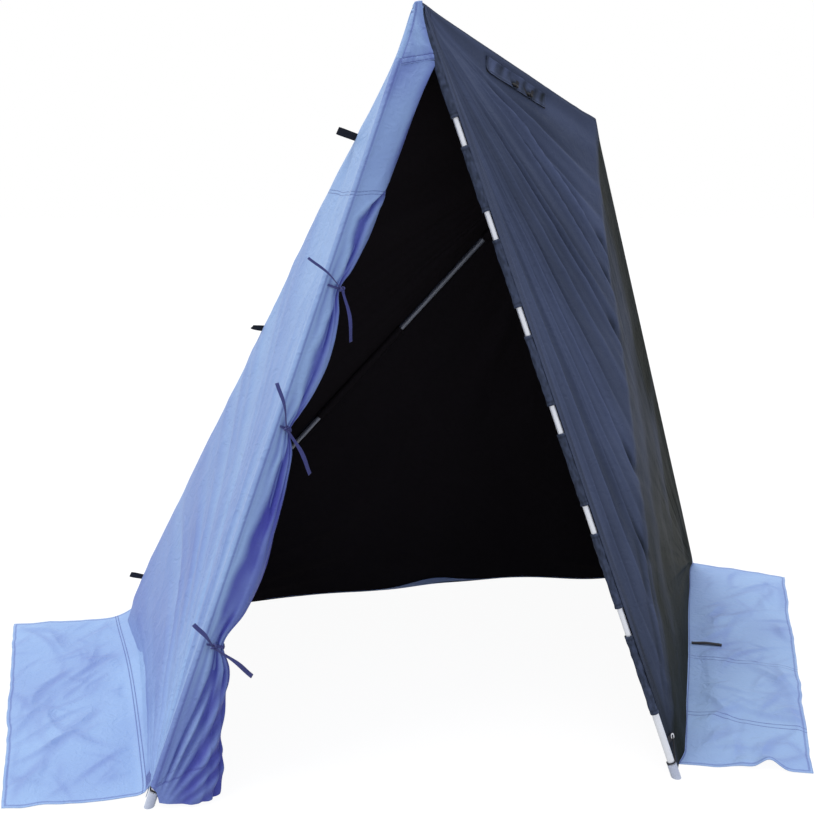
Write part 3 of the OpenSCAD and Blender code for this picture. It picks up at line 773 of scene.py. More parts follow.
def gable():
    """Panel between the tops of the front poles: lines from pole to pole that rise a little to the right, in
    front of both, with a double seam near its lower edge and puckers along it."""
    low_edge, left_edge, right_edge = 0.168, -0.02, 0.985
    stand = 0.0140
    t = np.linspace(-0.005, low_edge, 92)[:, None]
    w = np.linspace(left_edge, right_edge, 60)[None]
    left_run, right_run = unit(FRONT_LEFT - FRONT_APEX), unit(FRONT_RIGHT - FRONT_APEX)
    wide = np.sqrt(t**2 + 0.036**2 * (1 - ease(t, 0.02, 0.12)))
    left = FRONT_APEX + push(wide, left_run)
    right = FRONT_APEX + push(0.885 * wide * left_run[2] / right_run[2], right_run)
    width = np.linalg.norm(right - left, axis=-1)
    belly = np.sin(np.pi * np.clip(w, 0, 1))
    slant = w * 5 - t * 30
    height = stand + 0.0040 * belly * ease(t, 0.03, 0.10) * (1 - ease(t, 0.12, 0.165))
    height += 0.0030 * noise(slant, t * 20, 41) * ease(t, 0.05, 0.10) * belly * (1 - ease(t, 0.14, low_edge))
    pucker = np.sin(w * 38 + 3 * noise(w * 6, t * 5, 42)) * bell(t, 0.156, 0.020)
    height += 0.0008 * pucker * belly
    height -= 0.0011 * (bell(t, 0.1495, 0.0028) + bell(t, 0.1645, 0.0028))
    height -= 0.0010 * ease(t, 0.164, low_edge)
    height -= 0.006 * (bell(w, left_edge, 0.05) + 0.7 * bell(w, right_edge, 0.05))
    over_top = np.sqrt(np.maximum(0.0165**2 - np.minimum(t, 0) ** 2, 0)) - stand
    height += over_top * (1 - ease(t, 0.0, 0.05))
    points = left + push(w, right - left) + push(height, outward(FRONT_APEX, FRONT_LEFT, FRONT_RIGHT))
    points = points + push(t - wide, unit(left_run + right_run))
    # Painted shade: darker along the puckers and towards the right, with random tone.
    fold = 0.16 + 0.14 * bell(t, 0.156, 0.016) * (0.6 + 0.4 * np.sin(w * 38))
    fold += 0.16 * ease(w, 0.55, 1.0) + 0.16 * noise(slant, t * 20, 43)
    edge = (w - left_edge) * width
    marks = dict(double_seam=1 + (t - 0.157) * 1.2, hem=1 + edge - 0.006, fold=np.clip(fold, 0, 1))
    return piece(
        "gable_cloth", [patch(points, uv=stacked(w * width, t), inside=INSIDE, **marks)],
        [BLUE, LINING], WALL_THICK,
    )


def apex_cap(apex, ends):
    """Cloth drawn over an apex: a sphere that swells towards the sleeves, with small puckers."""
    polar = np.linspace(0.02, np.pi - 0.02, 30)[:, None]
    angle = np.linspace(0, FULL_TURN, 48, endpoint=False)[None]
    rays = stacked(np.sin(polar) * np.cos(angle), np.sin(polar) * np.sin(angle), np.cos(polar))
    swell = sum(np.exp(-6 * (1 - rays @ unit(end - apex))) for end in ends)
    r = 0.0148 + 0.0012 * swell + 0.0005 * np.sin(angle * 9) * np.sin(polar) ** 2
    return patch(apex + push(r, rays), wrap=True, caps=True, inside=apex)


def sleeves():
    """Cloth tubes on the poles, from apex to foot, with the gaps that leave the poles bare, a flange
    along the front right one, and caps over both apexes."""
    start, bare_foot = 0.012, 0.1805
    left_pole, right_pole = distance(FRONT_APEX, FRONT_LEFT), distance(FRONT_APEX, FRONT_RIGHT)
    ridge = distance(FRONT_APEX, REAR_APEX)
    gaps = [0.306 + 0.258 * i + 0.0072 * i * (i - 1) / 2 for i in range(6)]
    stretches = zip([start] + [gap + 0.078 for gap in gaps], gaps + [right_pole - bare_foot])
    # Rough wrinkles, and painted shade that darkens the front right sleeve's stretches.
    wrinkled_and_shaded = dict(rough=0.0014, fold=0.55)
    made = {
        "front_left": [tube(FRONT_APEX, FRONT_LEFT, start, left_pole - 0.060, SLEEVE_R + 0.0008, seed=51)],
        "front_right": [
            tube(FRONT_APEX, FRONT_RIGHT, s, e, SLEEVE_R - 0.0004 * (n > 0), seed=60 + n, **wrinkled_and_shaded)
            for n, (s, e) in enumerate(stretches)
        ],
        "ridge": [
            tube(FRONT_APEX, REAR_APEX, start, ridge - start, SLEEVE_R, seed=71),
            binding(FRONT_APEX, REAR_APEX, LEFT_REAR_PANEL, RIGHT_FRONT_PANEL, -0.004, ridge + 0.004),
        ],
    }
    rear = (("rear_left", REAR_LEFT, 80, bare_foot), ("rear_right", REAR_RIGHT, 90, 0.044))
    for label, foot, seed, bare in rear:
        pole = distance(REAR_APEX, foot)
        parts = [(start, 0.21 * pole), (0.38 * pole, 0.56 * pole), (0.625 * pole, pole - bare)]
        made[label] = [tube(REAR_APEX, foot, s, e, SLEEVE_R, seed=seed + n) for n, (s, e) in enumerate(parts)]
    run = unit(FRONT_RIGHT - FRONT_APEX)
    inward = np.cross(run, RIGHT_FRONT_PANEL)
    inward = inward * np.sign(inward @ (REAR_APEX - FRONT_APEX))
    s, t = np.linspace(0.05, right_pole - 0.18, 300)[:, None], np.linspace(0, 1, 8)[None]
    flange = FRONT_APEX + push(s, run) + push(0.0086 + 0.021 * t, inward)
    flange = flange + push(-0.002 + 0.004 * t, RIGHT_FRONT_PANEL)
    # Painted shadow: the flange is shaded dark, as the shadow line between the sleeve and the wall.
    made["front_right"].append(patch(flange, inside=INSIDE, fold=0.85))
    made["front_left"].append(apex_cap(FRONT_APEX, (FRONT_LEFT, FRONT_RIGHT, REAR_APEX)))
    made["ridge"].append(apex_cap(REAR_APEX, (REAR_LEFT, REAR_RIGHT, FRONT_APEX)))
    # Painted shade: the rear left sleeve takes the black lining, darker than its black cloth, for the shade
    # inside the tent.
    covers = {"front_left": (BLUE, "blue_cloth"), "rear_left": (LINING, "black_cloth")}
    for label, parts in made.items():
        cover, slot = covers.get(label, (BLACK, "black_cloth"))
        obj = piece(f"{label}_sleeve_cloth", parts, [cover, LINING], TRIM_THICK)
        on_tent(obj, f"{label}_sleeve")


on_tent(left_wall(), "left_wall")
on_tent(right_wall(), "right_wall")
on_tent(back_wall(), "back_wall")
on_tent(gable(), "gable")
sleeves()


# Door


UP_POLE = unit(FRONT_APEX - FRONT_LEFT)
HANG = unit(UP_POLE * UP_POLE[2] - UPWARD)
DOOR_SIDE = np.cross(UP_POLE, HANG)
# How far the gathered bundle starts off the pole
DOOR_X = 0.018
# Distance of the ties from the apex, and the bundle's width and depth there
TIES = (0.767, 1.153, 1.735)
WAISTS = ((0.025, 0.032), (0.018, 0.028), (0.034, 0.040))
# Distance from the apex, width and depth of the gathered bundle
STATIONS = np.array((
    (0.130, 0.077, 0.012), (0.178, 0.070, 0.014), (0.240, 0.064, 0.024), (0.300, 0.062, 0.038),
    (0.380, 0.065, 0.052), (0.480, 0.063, 0.060), (0.620, 0.057, 0.058), (0.710, 0.040, 0.044),
    (0.767, 0.025, 0.032), (0.830, 0.046, 0.050), (0.950, 0.062, 0.064), (1.050, 0.048, 0.050),
    (1.110, 0.030, 0.038), (1.153, 0.018, 0.028), (1.200, 0.040, 0.044), (1.290, 0.058, 0.060),
    (1.420, 0.071, 0.068), (1.550, 0.076, 0.072), (1.640, 0.064, 0.062), (1.735, 0.034, 0.040),
    (1.790, 0.070, 0.064), (1.860, 0.088, 0.076), (1.950, 0.098, 0.082), (2.020, 0.118, 0.086),
    (2.130, 0.132, 0.088),
)).T
# Distance from the apex, and the share of the width at which the main valley lies
VALLEY = np.array((
    (0.455, 0.97), (0.480, 0.88), (0.500, 0.70), (0.530, 0.44), (0.580, 0.28), (0.640, 0.30),
    (0.700, 0.42), (0.758, 0.60), (0.800, 0.50), (0.86, 0.34), (0.95, 0.30), (1.04, 0.36),
    (1.11, 0.55), (1.17, 0.55), (1.25, 0.36), (1.40, 0.28), (1.55, 0.21), (1.64, 0.18),
    (1.70, 0.24), (1.75, 0.32), (1.85, 0.30), (2.00, 0.30), (2.12, 0.28),
)).T
# Folds below the lower tie: slope from the pole's foot, width and depth
LOW_FOLDS = (
    (0.105, 0.020, 1.0), (0.19, 0.028, 0.7), (0.31, 0.040, 1.0),
    (0.47, 0.050, 0.8), (0.66, 0.060, 0.8), (0.90, 0.08, 0.6),
)
# The hem along the door, off the pole: places, and distances from the apex
HEM_X = (-0.02, 0.0, 0.012, 0.03, 0.076, 0.148, 0.2)
HEM_S = (2.113, 2.125, 2.148, 2.142, 2.128, 2.098, 2.075)
# Distance from the apex of the outline's last row, and of the pole's foot
LAST_ROW, POLE_FOOT = 2.113, 2.19
# Angle round the bundle at which its outline starts on the pole's sleeve
FIRST_ANGLE = np.pi + 0.19


def on_door(x, y, s):
    """Point of the door's frame: x off the pole under it, y into the tent, s down from the apex."""
    return FRONT_APEX + push(x, HANG) + push(y, DOOR_SIDE) - push(s, UP_POLE)


def smooth_table(x, xs, ys):
    """Values between stations: a cubic on each stretch, which meets its neighbours with the mean slope."""
    slope = np.gradient(ys, xs)
    k = np.clip(np.searchsorted(xs, x) - 1, 0, len(xs) - 2)
    h = xs[k + 1] - xs[k]
    t = (x - xs[k]) / h
    return (
        (2 * t**3 - 3 * t**2 + 1) * ys[k] + (t**3 - 2 * t**2 + t) * h * slope[k]
        + (3 * t**2 - 2 * t**3) * ys[k + 1] + (t**3 - t**2) * h * slope[k + 1]
    )


def door_radius(s, angle):
    """Radius of the bundle round its oval, with the shade of its valleys and a soft noise. Narrow valleys are
    deeper near the ties and towards the hem, and the cloth rolls inwards to a coil after one turn."""
    near_tie = np.clip(sum(bell(s, t, 0.085) for t in TIES), 0, 1)
    sprays = (bell(s, t, np.where(s > t, far, 0.085)) for t, far in zip(TIES, (0.12, 0.26, 0.10)))
    spray = np.clip(sum(sprays), 0, 1)
    low, gather = ease(s, 1.70, 1.95), ease(s, 0.20, 0.46)
    main = FULL_TURN - np.arccos(2 * np.interp(s, *VALLEY) - 1)
    # Angle, width and depth of each valley
    valleys = [
        (main, 0.12, 0.50 * ease(s, 0.455, 0.50) * (1 - 0.35 * near_tie) * (1 - 0.7 * low)),
        (4.45, 0.10, 0.32 * spray + 0.04 * low), (3.95, 0.10, 0.26 * spray + 0.06 * low),
        (5.75, 0.10, 0.26 * spray + 0.12 * low), (5.15, 0.09, 0.28 * spray + 0.08 * low),
        (6.25, 0.11, 0.30 * gather), (6.75, 0.12, 0.38 * gather), (7.30, 0.11, 0.36 * gather),
        (7.85, 0.12, 0.40 * gather), (8.40, 0.11, 0.34 * gather),
    ]
    r = np.ones(np.broadcast(s, angle).shape)
    shade = np.zeros(r.shape)
    for n, (place, width, depth) in enumerate(valleys):
        wander = (n > 0) * 0.16 * noise(s * 5, n * 3.7, 101) + 0.05 * noise(s * 18, n * 5.1, 102)
        drift = angle - place - wander
        width = width * (1 + 0.3 * noise(s * 7, n * 2.3, 103)) * np.where((n == 0) & (drift > 0), 2.6, 1.0)
        r -= depth * bell(drift, 0, width)
        r += 0.16 * depth * (bell(drift, 2.6 * width, width) + bell(drift, -2.2 * width, width))
        shade += depth * (bell(drift, 0.4 * width, 1.2 * width) - 0.25 * bell(drift, -2.2 * width, width))
    soft = noise(angle * 2.0 + s * 4, s * 5 + angle, 104)
    r += 0.030 * soft * gather + 0.014 * creases(angle * 4, s * 22, 105) * gather
    r += 0.014 * noise(angle * 9, s * 30, 106) * near_tie
    inner = ease(angle, 2.94 * np.pi, 3.3 * np.pi)
    coil = 0.50 - 0.14 * ease(angle, 3.3 * np.pi, 6.2 * np.pi)
    coil = coil + 0.08 * np.sin(9 * angle) * ease(angle, 3.2 * np.pi, 3.6 * np.pi)
    return r * (1 - inner) + coil * inner, shade, soft


def door():
    """Cloth gathered under the pole: an oval outline that follows the stations, starts on the pole's
    sleeve, goes once round and rolls inwards. The main valley wanders across the front, steep on the
    pole's side and slow on the other. Below the lower tie, folds run down to the pole's foot."""
    top, between_ties = np.linspace(0.146, 0.70, 76)[:-1], np.linspace(0.70, 1.25, 100)[:-1]
    s = np.concatenate([top, between_ties, np.linspace(1.25, LAST_ROW, 130)])[:, None]
    angle = FIRST_ANGLE + 5.2 * np.pi * np.linspace(0, 1, 3600)[None]
    wide, deep = (smooth_table(s, STATIONS[0], column) for column in STATIONS[1:])
    r, shade, soft = door_radius(s, angle)
    x = DOOR_X + wide / 2 * (1 + r * np.cos(angle))
    y = deep / 2 * r * np.sin(angle) - 0.0055 * (1 - ease(s, 0.17, 0.36))
    right = (x - DOOR_X) / wide
    flat_turn = np.radians(-31.3) * (1 - ease(s, 0.18, 0.44))
    c, d = np.cos(flat_turn), np.sin(flat_turn)
    x, y = x * c - y * d, x * d + y * c
    turn = np.radians(162 + 113 * np.clip((angle - FIRST_ANGLE) / 0.40, 0, 1))
    on_sleeve = 1 - ease(angle, np.pi + 0.50, np.pi + 1.35)
    x = x + (0.0136 * np.cos(turn) - x) * on_sleeve
    y = y + (0.0136 * np.sin(turn) - y) * on_sleeve
    y = y - 0.050 * ease(s, 1.82, 2.09) * np.clip(x / 0.15, 0, 1)
    # Even columns along each outline
    steps = np.hypot(np.diff(x, axis=1), np.diff(y, axis=1))
    length = np.cumsum(np.concatenate([np.zeros((len(s), 1)), steps], 1), axis=1)
    share = np.linspace(0, 1, 300)

    def even(values):
        rows = zip(length, np.broadcast_to(values, length.shape))
        return np.stack([np.interp(share * l[-1], l, v) for l, v in rows])

    x, y, right, shade, soft, angle = (even(values) for values in (x, y, right, shade, soft, angle))
    # Folds below the lower tie that run down to the pole's foot
    slope = np.arctan2(np.maximum(x, 0), POLE_FOOT - s)
    drawn = np.zeros(x.shape)
    for place, width, depth in LOW_FOLDS:
        off = slope + 0.025 * noise(s * 8, place * 17, 109) - place
        drawn += depth * (bell(off, 0, width) - 0.5 * bell(off, 1.7 * width, width))
    drawn *= ease(s, 1.755, 1.86) * ease(FULL_TURN - angle, 0.0, 0.35)
    drawn *= ease(np.hypot(x, POLE_FOOT - s), 0.07, 0.20)
    y = y + 0.0105 * drawn
    tilt = 0.353 * (1 - ease(s, 0.25, 0.50))
    down = s + ease(s, 1.90, LAST_ROW) * (np.interp(x, HEM_X, HEM_S) - LAST_ROW)
    points = on_door(x, y, down - tilt * x)
    z = points[..., 2] = np.maximum(points[..., 2], 0.006)
    front = angle < 2.05 * np.pi
    flat_top = 1 - ease(s, 0.40, 0.52)
    between = ease(s, 1.22, 1.36) * (1 - ease(s, 1.66, 1.74))
    # Painted shade: the valleys' shade with painted light beside them, darker towards the right, between the
    # middle and lower ties on the right, towards the hem and in the folds drawn to the foot, random tone near
    # the top, and one flat shade on the back of the bundle.
    fold = 0.16 + 1.35 * np.clip(shade, -0.1, 0.6) + 0.10 * soft * (1 - flat_top)
    fold += 0.30 * ease(right, 0.62, 1.0) + 0.16 * ease(right, 0.3, 0.6) * ease(s, 0.5, 0.6)
    fold += 0.34 * ease(s, 1.70, 1.90) + 0.36 * drawn + 0.34 * between * ease(right, 0.30, 0.60)
    fold += flat_top * (0.22 * noise(right * 3 + s * 9, s * 10, 108) + 0.10)
    fold = np.where(front, np.minimum(fold, 0.92), 0.62)
    arc = share * length[:, -1:]
    level = np.where(front, 2.2 * (z - SEAM_Z + 0.003 * noise(x * 30, s * 0, 107)), 1)
    hem = np.where(front, down - 2.107 + 1.05 * np.clip(x, -0.02, 0.11), 1)
    edge = arc - 0.0185
    hem = np.where(np.abs(edge) < np.abs(hem), edge, hem)
    marks = dict(double_seam=1 + level, hem=1 + hem, fold=np.clip(fold, 0, 1))
    middle = on_door(DOOR_X + wide / 2, 0 * s, s)
    sheet = patch(points, uv=stacked(arc, s), inside=middle, **marks)
    obj = piece("door_cloth", [sheet], [BLUE])
    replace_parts(obj, "door")
    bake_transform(obj)


def tie(name, place, waist, knot_x, tails):
    """Tape round the bundle's waist: two turns that leave the pole's seam in front, pass the knot and end
    behind the pole, an overhand knot on a trefoil path, and two tails that twist and droop. A tail has
    its turn in degrees, its length, width and droop."""
    centre = DOOR_X + waist[0] / 2
    t = np.linspace(0, 1, 90)
    angle = np.radians(250 + 220 * t)
    ends = ease(t, 0.0, 0.22) * (1 - ease(t, 0.78, 1.0))
    parts = []
    for n, slack in enumerate((0.0032, 0.0046)):
        wave = 0.0012 * np.sin(3 * angle + place * 9) + (n - 0.5) * 0.004 * np.sin(np.pi * t)
        x = centre + (waist[0] / 2 + slack) * np.cos(angle)
        y = (waist[1] / 2 + slack) * np.sin(angle)
        x = x * ends + np.where(t < 0.5, 0.0, 0.0071) * (1 - ends)
        y = y * ends + np.where(t < 0.5, -0.0152, 0.0134) * (1 - ends)
        band = on_door(x, y, place + wave)
        parts.append(ribbon(band, UP_POLE, 0.0052, 0.0016, twist=0.35 * np.sin(2 * angle + n)))
    knot_y = -waist[1] / 2 - 0.0095
    t = np.linspace(0, FULL_TURN, 97)
    knot = on_door(
        knot_x + 0.0026 * (np.sin(t) + 1.7 * np.sin(2 * t)),
        knot_y + 0.0030 * np.sin(3 * t),
        place + 0.0026 * (np.cos(t) - 1.7 * np.cos(2 * t)),
    )
    parts.append(ribbon(knot, DOOR_SIDE, 0.0046, 0.0032))
    obj = piece(f"{name}_tape", parts, [RIBBON])
    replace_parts(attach(obj, "door"), f"{name}_tie")
    q = np.linspace(0, 1, 36)
    twist = 0.45 * (1 - ease(q, 0.1, 0.75)) + 0.25 * np.sin(5 * q)
    for n, (turn, length, width, droop) in enumerate(tails):
        c, s = np.cos(np.radians(turn)), np.sin(np.radians(turn))
        run = 0.004 + length * q
        bend = droop * np.sin(np.pi * q) ** 2
        y = knot_y - 0.007 * np.sin(np.pi * q) + 0.004 * q**2
        path = on_door(knot_x + run * c + bend * s, y, place + run * s - bend * c)
        grow = width * (0.62 + 0.38 * ease(q, 0.05, 0.75))
        face = np.cross(DOOR_SIDE, path[-1] - path[0])
        strip = ribbon(path, face, grow, 0.0012, twist=twist)
        tail = piece(f"{name}_tail_{n + 1}", [strip], [RIBBON])
        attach(tail, "door")


door()
tie("upper", TIES[0], WAISTS[0], 0.040, ((199, 0.125, 0.007, -0.004), (57, 0.138, 0.011, 0.004)))
tie("middle", TIES[1], WAISTS[1], 0.016, ((237, 0.120, 0.010, -0.004), (41, 0.145, 0.012, 0.004)))
tie("lower", TIES[2], WAISTS[2], 0.014, ((214, 0.085, 0.011, -0.003), (25, 0.150, 0.012, 0.004)))


# Flaps on the ground


# Height of a flap's cloth where it lies flat
GROUND = 0.0026


def crumple(along, out, seed, lean):
    """Height and shade of cloth thrown on the ground: slow humps, and short straight creases. Each crease
    is e to the minus distance over a width that is small on its steep side and large on the other, and
    fades towards its ends."""
    count, big_count = 210, 60
    pick = np.random.default_rng(seed)
    slant, across = along * 0.8 + out * 0.6, out * 0.8 - along * 0.6
    height = 0.009 * np.maximum(noise(slant * 3.0, across * 5.0, seed + 6), 0)
    height = height + 0.005 * np.maximum(noise(along * 7, out * 7, seed + 12), 0)
    shade = np.zeros(np.shape(height))
    for n in range(count):
        big = n < big_count
        at_along, at_out = pick.uniform(0.05, 2.2), pick.uniform(0.0, 0.42)
        turn = lean * np.sign(pick.uniform(-0.25, 1)) + pick.normal(0, 0.40)
        size = pick.uniform(0.05, 0.15) * (1 if big else 0.5)
        tall = pick.uniform(0.0025, 0.0075) * (1 if big else 0.35)
        side, bend = np.sign(pick.uniform(-1, 1)), pick.uniform(-2.5, 2.5)
        far = (along - at_along) * np.cos(turn) + (out - at_out) * np.sin(turn)
        off = (out - at_out) * np.cos(turn) - (along - at_along) * np.sin(turn) + bend * far**2
        off = side * off
        fade = bell(far, 0, size)
        steep, slow = 0.003 + 1.2 * tall, 0.008 + 5 * tall
        height = height + tall * fade * np.exp(-np.abs(off) / np.where(off > 0, steep, slow))
        shade = shade + (1.0 if big else 0.6) * fade * bell(off, 1.2 * steep, 1.1 * steep + 0.003)
    return height, 1 - np.exp(-shade)


def off_wall(distance):
    """Share of the crumple at a distance from the wall, so that the cloth is flat where it bends."""
    return ease(distance, 0.02, 0.10)


def flap(name, a, b, top, out, width, front, rear, seed, lean, lip, base, seams=(), waves=()):
    """Sheet between a wall and its outer edge: along runs from the first end to the second, out from the
    wall. It leaves the wall a lip's height above the base, turns out, lies crumpled on the ground, and
    its free edges wander."""
    run, normal = unit(b - a), outward(a, b, top)
    p = np.linspace(0, 1, 260)[None]
    q = np.concatenate([np.linspace(-1, 0, 14)[:-1], np.linspace(0, 1, 84)])[:, None]
    ground, wall = np.maximum(q, 0), np.maximum(-q, 0)
    inner, outer = front[0] + (rear[0] - front[0]) * p, front[1] + (rear[1] - front[1]) * p
    start, tall = base(inner), lip(p)
    reach = 0.030 + width[0] + (width[1] - width[0]) * p - start
    wander = 0.004 * noise(p * 12, seed * 1.3, seed + 7) + 0.0018 * noise(p * 37, seed * 1.9, seed + 8)
    ends = bell(p, 0, 0.05) + bell(p, 1, 0.05)
    along = inner + (outer - inner) * ground - 0.46 * tall * wall * ease(p, 0.5, 1.0)
    along = along + 0.006 * noise(ground * 7, p * 0 + seed, seed + 9) * ends * ease(ground, 0.05, 0.3)
    from_wall = ground * (reach + wander)
    place = start + from_wall - (0.7 * normal[2] / (normal @ out) * tall + 0.007) * wall
    height, shade = crumple(along, from_wall, seed, lean)
    flat = off_wall(from_wall) * (0.35 + 0.65 * ease(np.minimum(p, 1 - p), 0.0, 0.05))
    flat = flat * (1 - 0.6 * bell(ground, 1, 0.06))
    height = height * flat
    for where, rise, wide in waves:
        height = height + rise * bell(along, where[0], wide) * bell(from_wall, where[1], wide)
    mark = np.full(along.shape, 1.0)
    for line in seams:
        height = height - 0.0016 * bell(along, line, 0.004) + 0.0014 * bell(along, line, 0.014)
        wavy = along - line - 0.006 * noise(from_wall * 14, line * 9, seed + 13)
        mark = np.where(np.abs(wavy) < np.abs(mark), wavy, mark)
    turn_out = 0.3 * tall * (1 - np.clip(from_wall / (0.9 * tall + 0.002), 0, 1)) ** 2
    height = GROUND + np.maximum(height, 0) + turn_out + 0.7 * tall * wall
    points = a + push(along, run) + push(place, out) + push(height, UPWARD)
    edge = np.minimum.reduce([from_wall[-1:] - from_wall, along - along[:, :1], along[:, -1:] - along])
    # Painted shade: the creases' shade on their steep sides, random tone, and darker where the cloth rises up
    # the wall.
    fold = 0.03 + 0.30 * shade * flat + 0.10 * noise(along * 6, from_wall * 7, seed + 10) + 0.08 * wall
    sewn = from_wall - 0.003 - 0.050 * p**1.2 * (name == "left_flap")
    marks = dict(double_seam=1 + mark, hem=1 + edge - 0.009, seam=1 + sewn, fold=np.clip(fold, 0, 1))
    below = points.mean((0, 1)) - 5 * UPWARD
    sheet = patch(points, uv=stacked(along, from_wall - wall * tall), inside=below, **marks)
    obj = piece(f"{name}_cloth", [sheet], [BLUE], TRIM_THICK)
    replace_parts(obj, name)
    hinge = float(np.max(start)) + 0.004
    bend = dict(start=tuple(a + out * hinge), end=tuple(a + out * (hinge + 0.040)))
    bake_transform(obj)

    def ground_height(s, o):
        return GROUND + crumple(s, o - base(s), seed, lean)[0] * off_wall(o - base(s))

    return ground_height, bend


def left_flap_base(along):
    """How far the left flap starts off the wall's line: past the front foot's sleeve, and the crease's
    belly."""
    past_foot, past_belly = bell(along * 0.94, 0, 0.045), bell((LEFT_BASE - along) * 0.94, 0, 0.30)
    return 0.004 + OVER_POLE * past_foot + 0.022 * past_belly


def right_flap_base(along):
    """How far the right flap starts off the wall's line: under the wall's base, and past the rear foot's
    sleeve."""
    return right_base(along) - 0.005 + OVER_POLE * bell((RIGHT_BASE - along) * 0.9, 0, 0.040)


flap(
    "left_flap", FRONT_LEFT, REAR_LEFT, FRONT_APEX, LEFT_OUT,
    width=(0.325, 0.405), front=(0.046, 0.090), rear=(LEFT_BASE - 0.022, LEFT_BASE + 0.024),
    seed=201, lean=-0.55, lip=lambda p: 0.030 + 0.065 * ease(p, 0.0, 0.95), base=left_flap_base,
)
right_ground, right_bend = flap(
    "right_flap", FRONT_RIGHT, REAR_RIGHT, REAR_APEX, RIGHT_OUT,
    width=(0.318, 0.334), front=(0.058, 0.128), rear=(RIGHT_BASE, RIGHT_BASE - 0.046),
    seed=221, lean=0.60, lip=lambda p: 0.002 + 0 * p, base=right_flap_base,
    seams=(0.335, 0.698), waves=(((0.115, 0.235), 0.030, 0.032), ((0.12, 0.17), 0.010, 0.025)),
)
flap(
    "rear_flap", REAR_LEFT, REAR_RIGHT, REAR_APEX, REAR_OUT,
    width=(0.345, 0.345), front=(0.030, 0.030), rear=(REAR_BASE - 0.030, REAR_BASE - 0.030),
    seed=241, lean=0.50, lip=lambda p: 0.008 + 0.034 * bell(p, 0.50, 0.06),
    base=lambda along: 0.004 - base_bulge(along / REAR_BASE), seams=(0.75, 1.5),
)


def running_mean(values, half):
    """Mean of each value and its neighbours, as many as half on each side."""
    count = 2 * half + 1
    return np.convolve(np.pad(values, half, "edge"), np.ones(count) / count, "valid")


def strap():
    """Short webbing strap that lies on the right flap: a straight run over the highest cloth under it, with a
    soft bow."""
    place, first, last = 0.797, 0.022, 0.120
    out = np.linspace(first, last, 44)
    run = unit(REAR_RIGHT - FRONT_RIGHT)
    side = np.linspace(-0.008, 0.008, 5)[:, None]
    low = right_ground(place + side + 0 * out, out + 0 * side).max(0)
    low = np.maximum(low, running_mean(low, 6))
    path = FRONT_RIGHT + push(place + 0.004 * np.sin(out * 26), run) + push(out, RIGHT_OUT)
    path[:, 2] = low + 0.0030 + 0.003 * np.sin(np.pi * (out - first) / (last - first)) ** 2
    obj = piece("flap_strap_webbing", [ribbon(path, run, 0.016, 0.0026)], [WEBBING])
    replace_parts(obj, "flap_strap")
    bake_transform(obj)


strap()


# Vent, loops and small trim


VENT_ALONG = unit(REAR_APEX - FRONT_APEX)
VENT_OUT = RIGHT_FRONT_PANEL
VENT_DOWN = np.cross(VENT_ALONG, VENT_OUT)
VENT_CORNER = FRONT_APEX + VENT_ALONG * 0.262 + VENT_DOWN * 0.016
# Toggles: places along the cover, and how far down it and out of the wall they hang
TOGGLES = (0.117, 0.182)
TOGGLE_DOWN, TOGGLE_OUT = 0.041, 0.0082


def on_vent(down, along, out):
    """Point of the vent's frame: down the wall, along the ridge and out of the wall."""
    return VENT_CORNER + push(down, VENT_DOWN) + push(along, VENT_ALONG) + push(out, VENT_OUT)


def vent_cover():
    """Cover cloth with rounded lower corners: rows down the wall and columns along the ridge. Folds are
    pulled out of the two tie points, and the lower edge stands a little off the wall."""
    tall, long, straight, rounding = 0.050, 0.260, 0.034, 0.016
    down = np.linspace(0, tall, 46)[:, None]
    share = np.linspace(0, 1, 150)[None]
    arc = np.clip(down - straight, 0, rounding) / rounding
    corner = rounding * (1 - np.sqrt(np.clip(1 - arc**2, 0, 1)))
    along = corner + share * (long - 2 * corner)
    out = 0.0032 + 0.0026 * ease(down, 0.030, tall) + 0.0012 * noise(along * 40, down * 50, 301)
    # Painted shade, darker round the two tie points.
    painted_gather_shade = 0.36
    for middle in TOGGLES:
        spread = (along - middle) / (0.012 + 0.8 * np.clip(0.046 - down, 0, 1))
        out = out + 0.0030 * np.cos(spread * 5.5) * bell(spread, 0, 0.8) * ease(down, 0.004, 0.03)
        out = out - 0.0022 * bell(along, middle, 0.008) * bell(down, TOGGLE_DOWN, 0.006)
        painted_gather_shade = painted_gather_shade + 0.7 * bell(along, middle, 0.011) * bell(down, 0.036, 0.014)
    out = out + 0.0035 * bell(down, 0.0, 0.004)
    edge = np.minimum(tall - down, np.minimum(share, 1 - share) * long)
    # Painted shade: darker round the two tie points and where the cover lies close to the wall, lighter where
    # it stands out, with random tone.
    fold = painted_gather_shade + 0.5 * noise(along * 60 + down * 20, down * 9, 302) - 60 * (out - 0.0045)
    marks = dict(hem=1 + edge - 0.005, fold=np.clip(fold, 0, 1))
    cover = patch(on_vent(down, along, out), uv=stacked(down, along), inside=INSIDE, **marks)
    obj = piece("vent_cover_cloth", [cover], [BLACK, LINING], TRIM_THICK)
    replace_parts(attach(obj, "vent_cover"), "vent_cover")


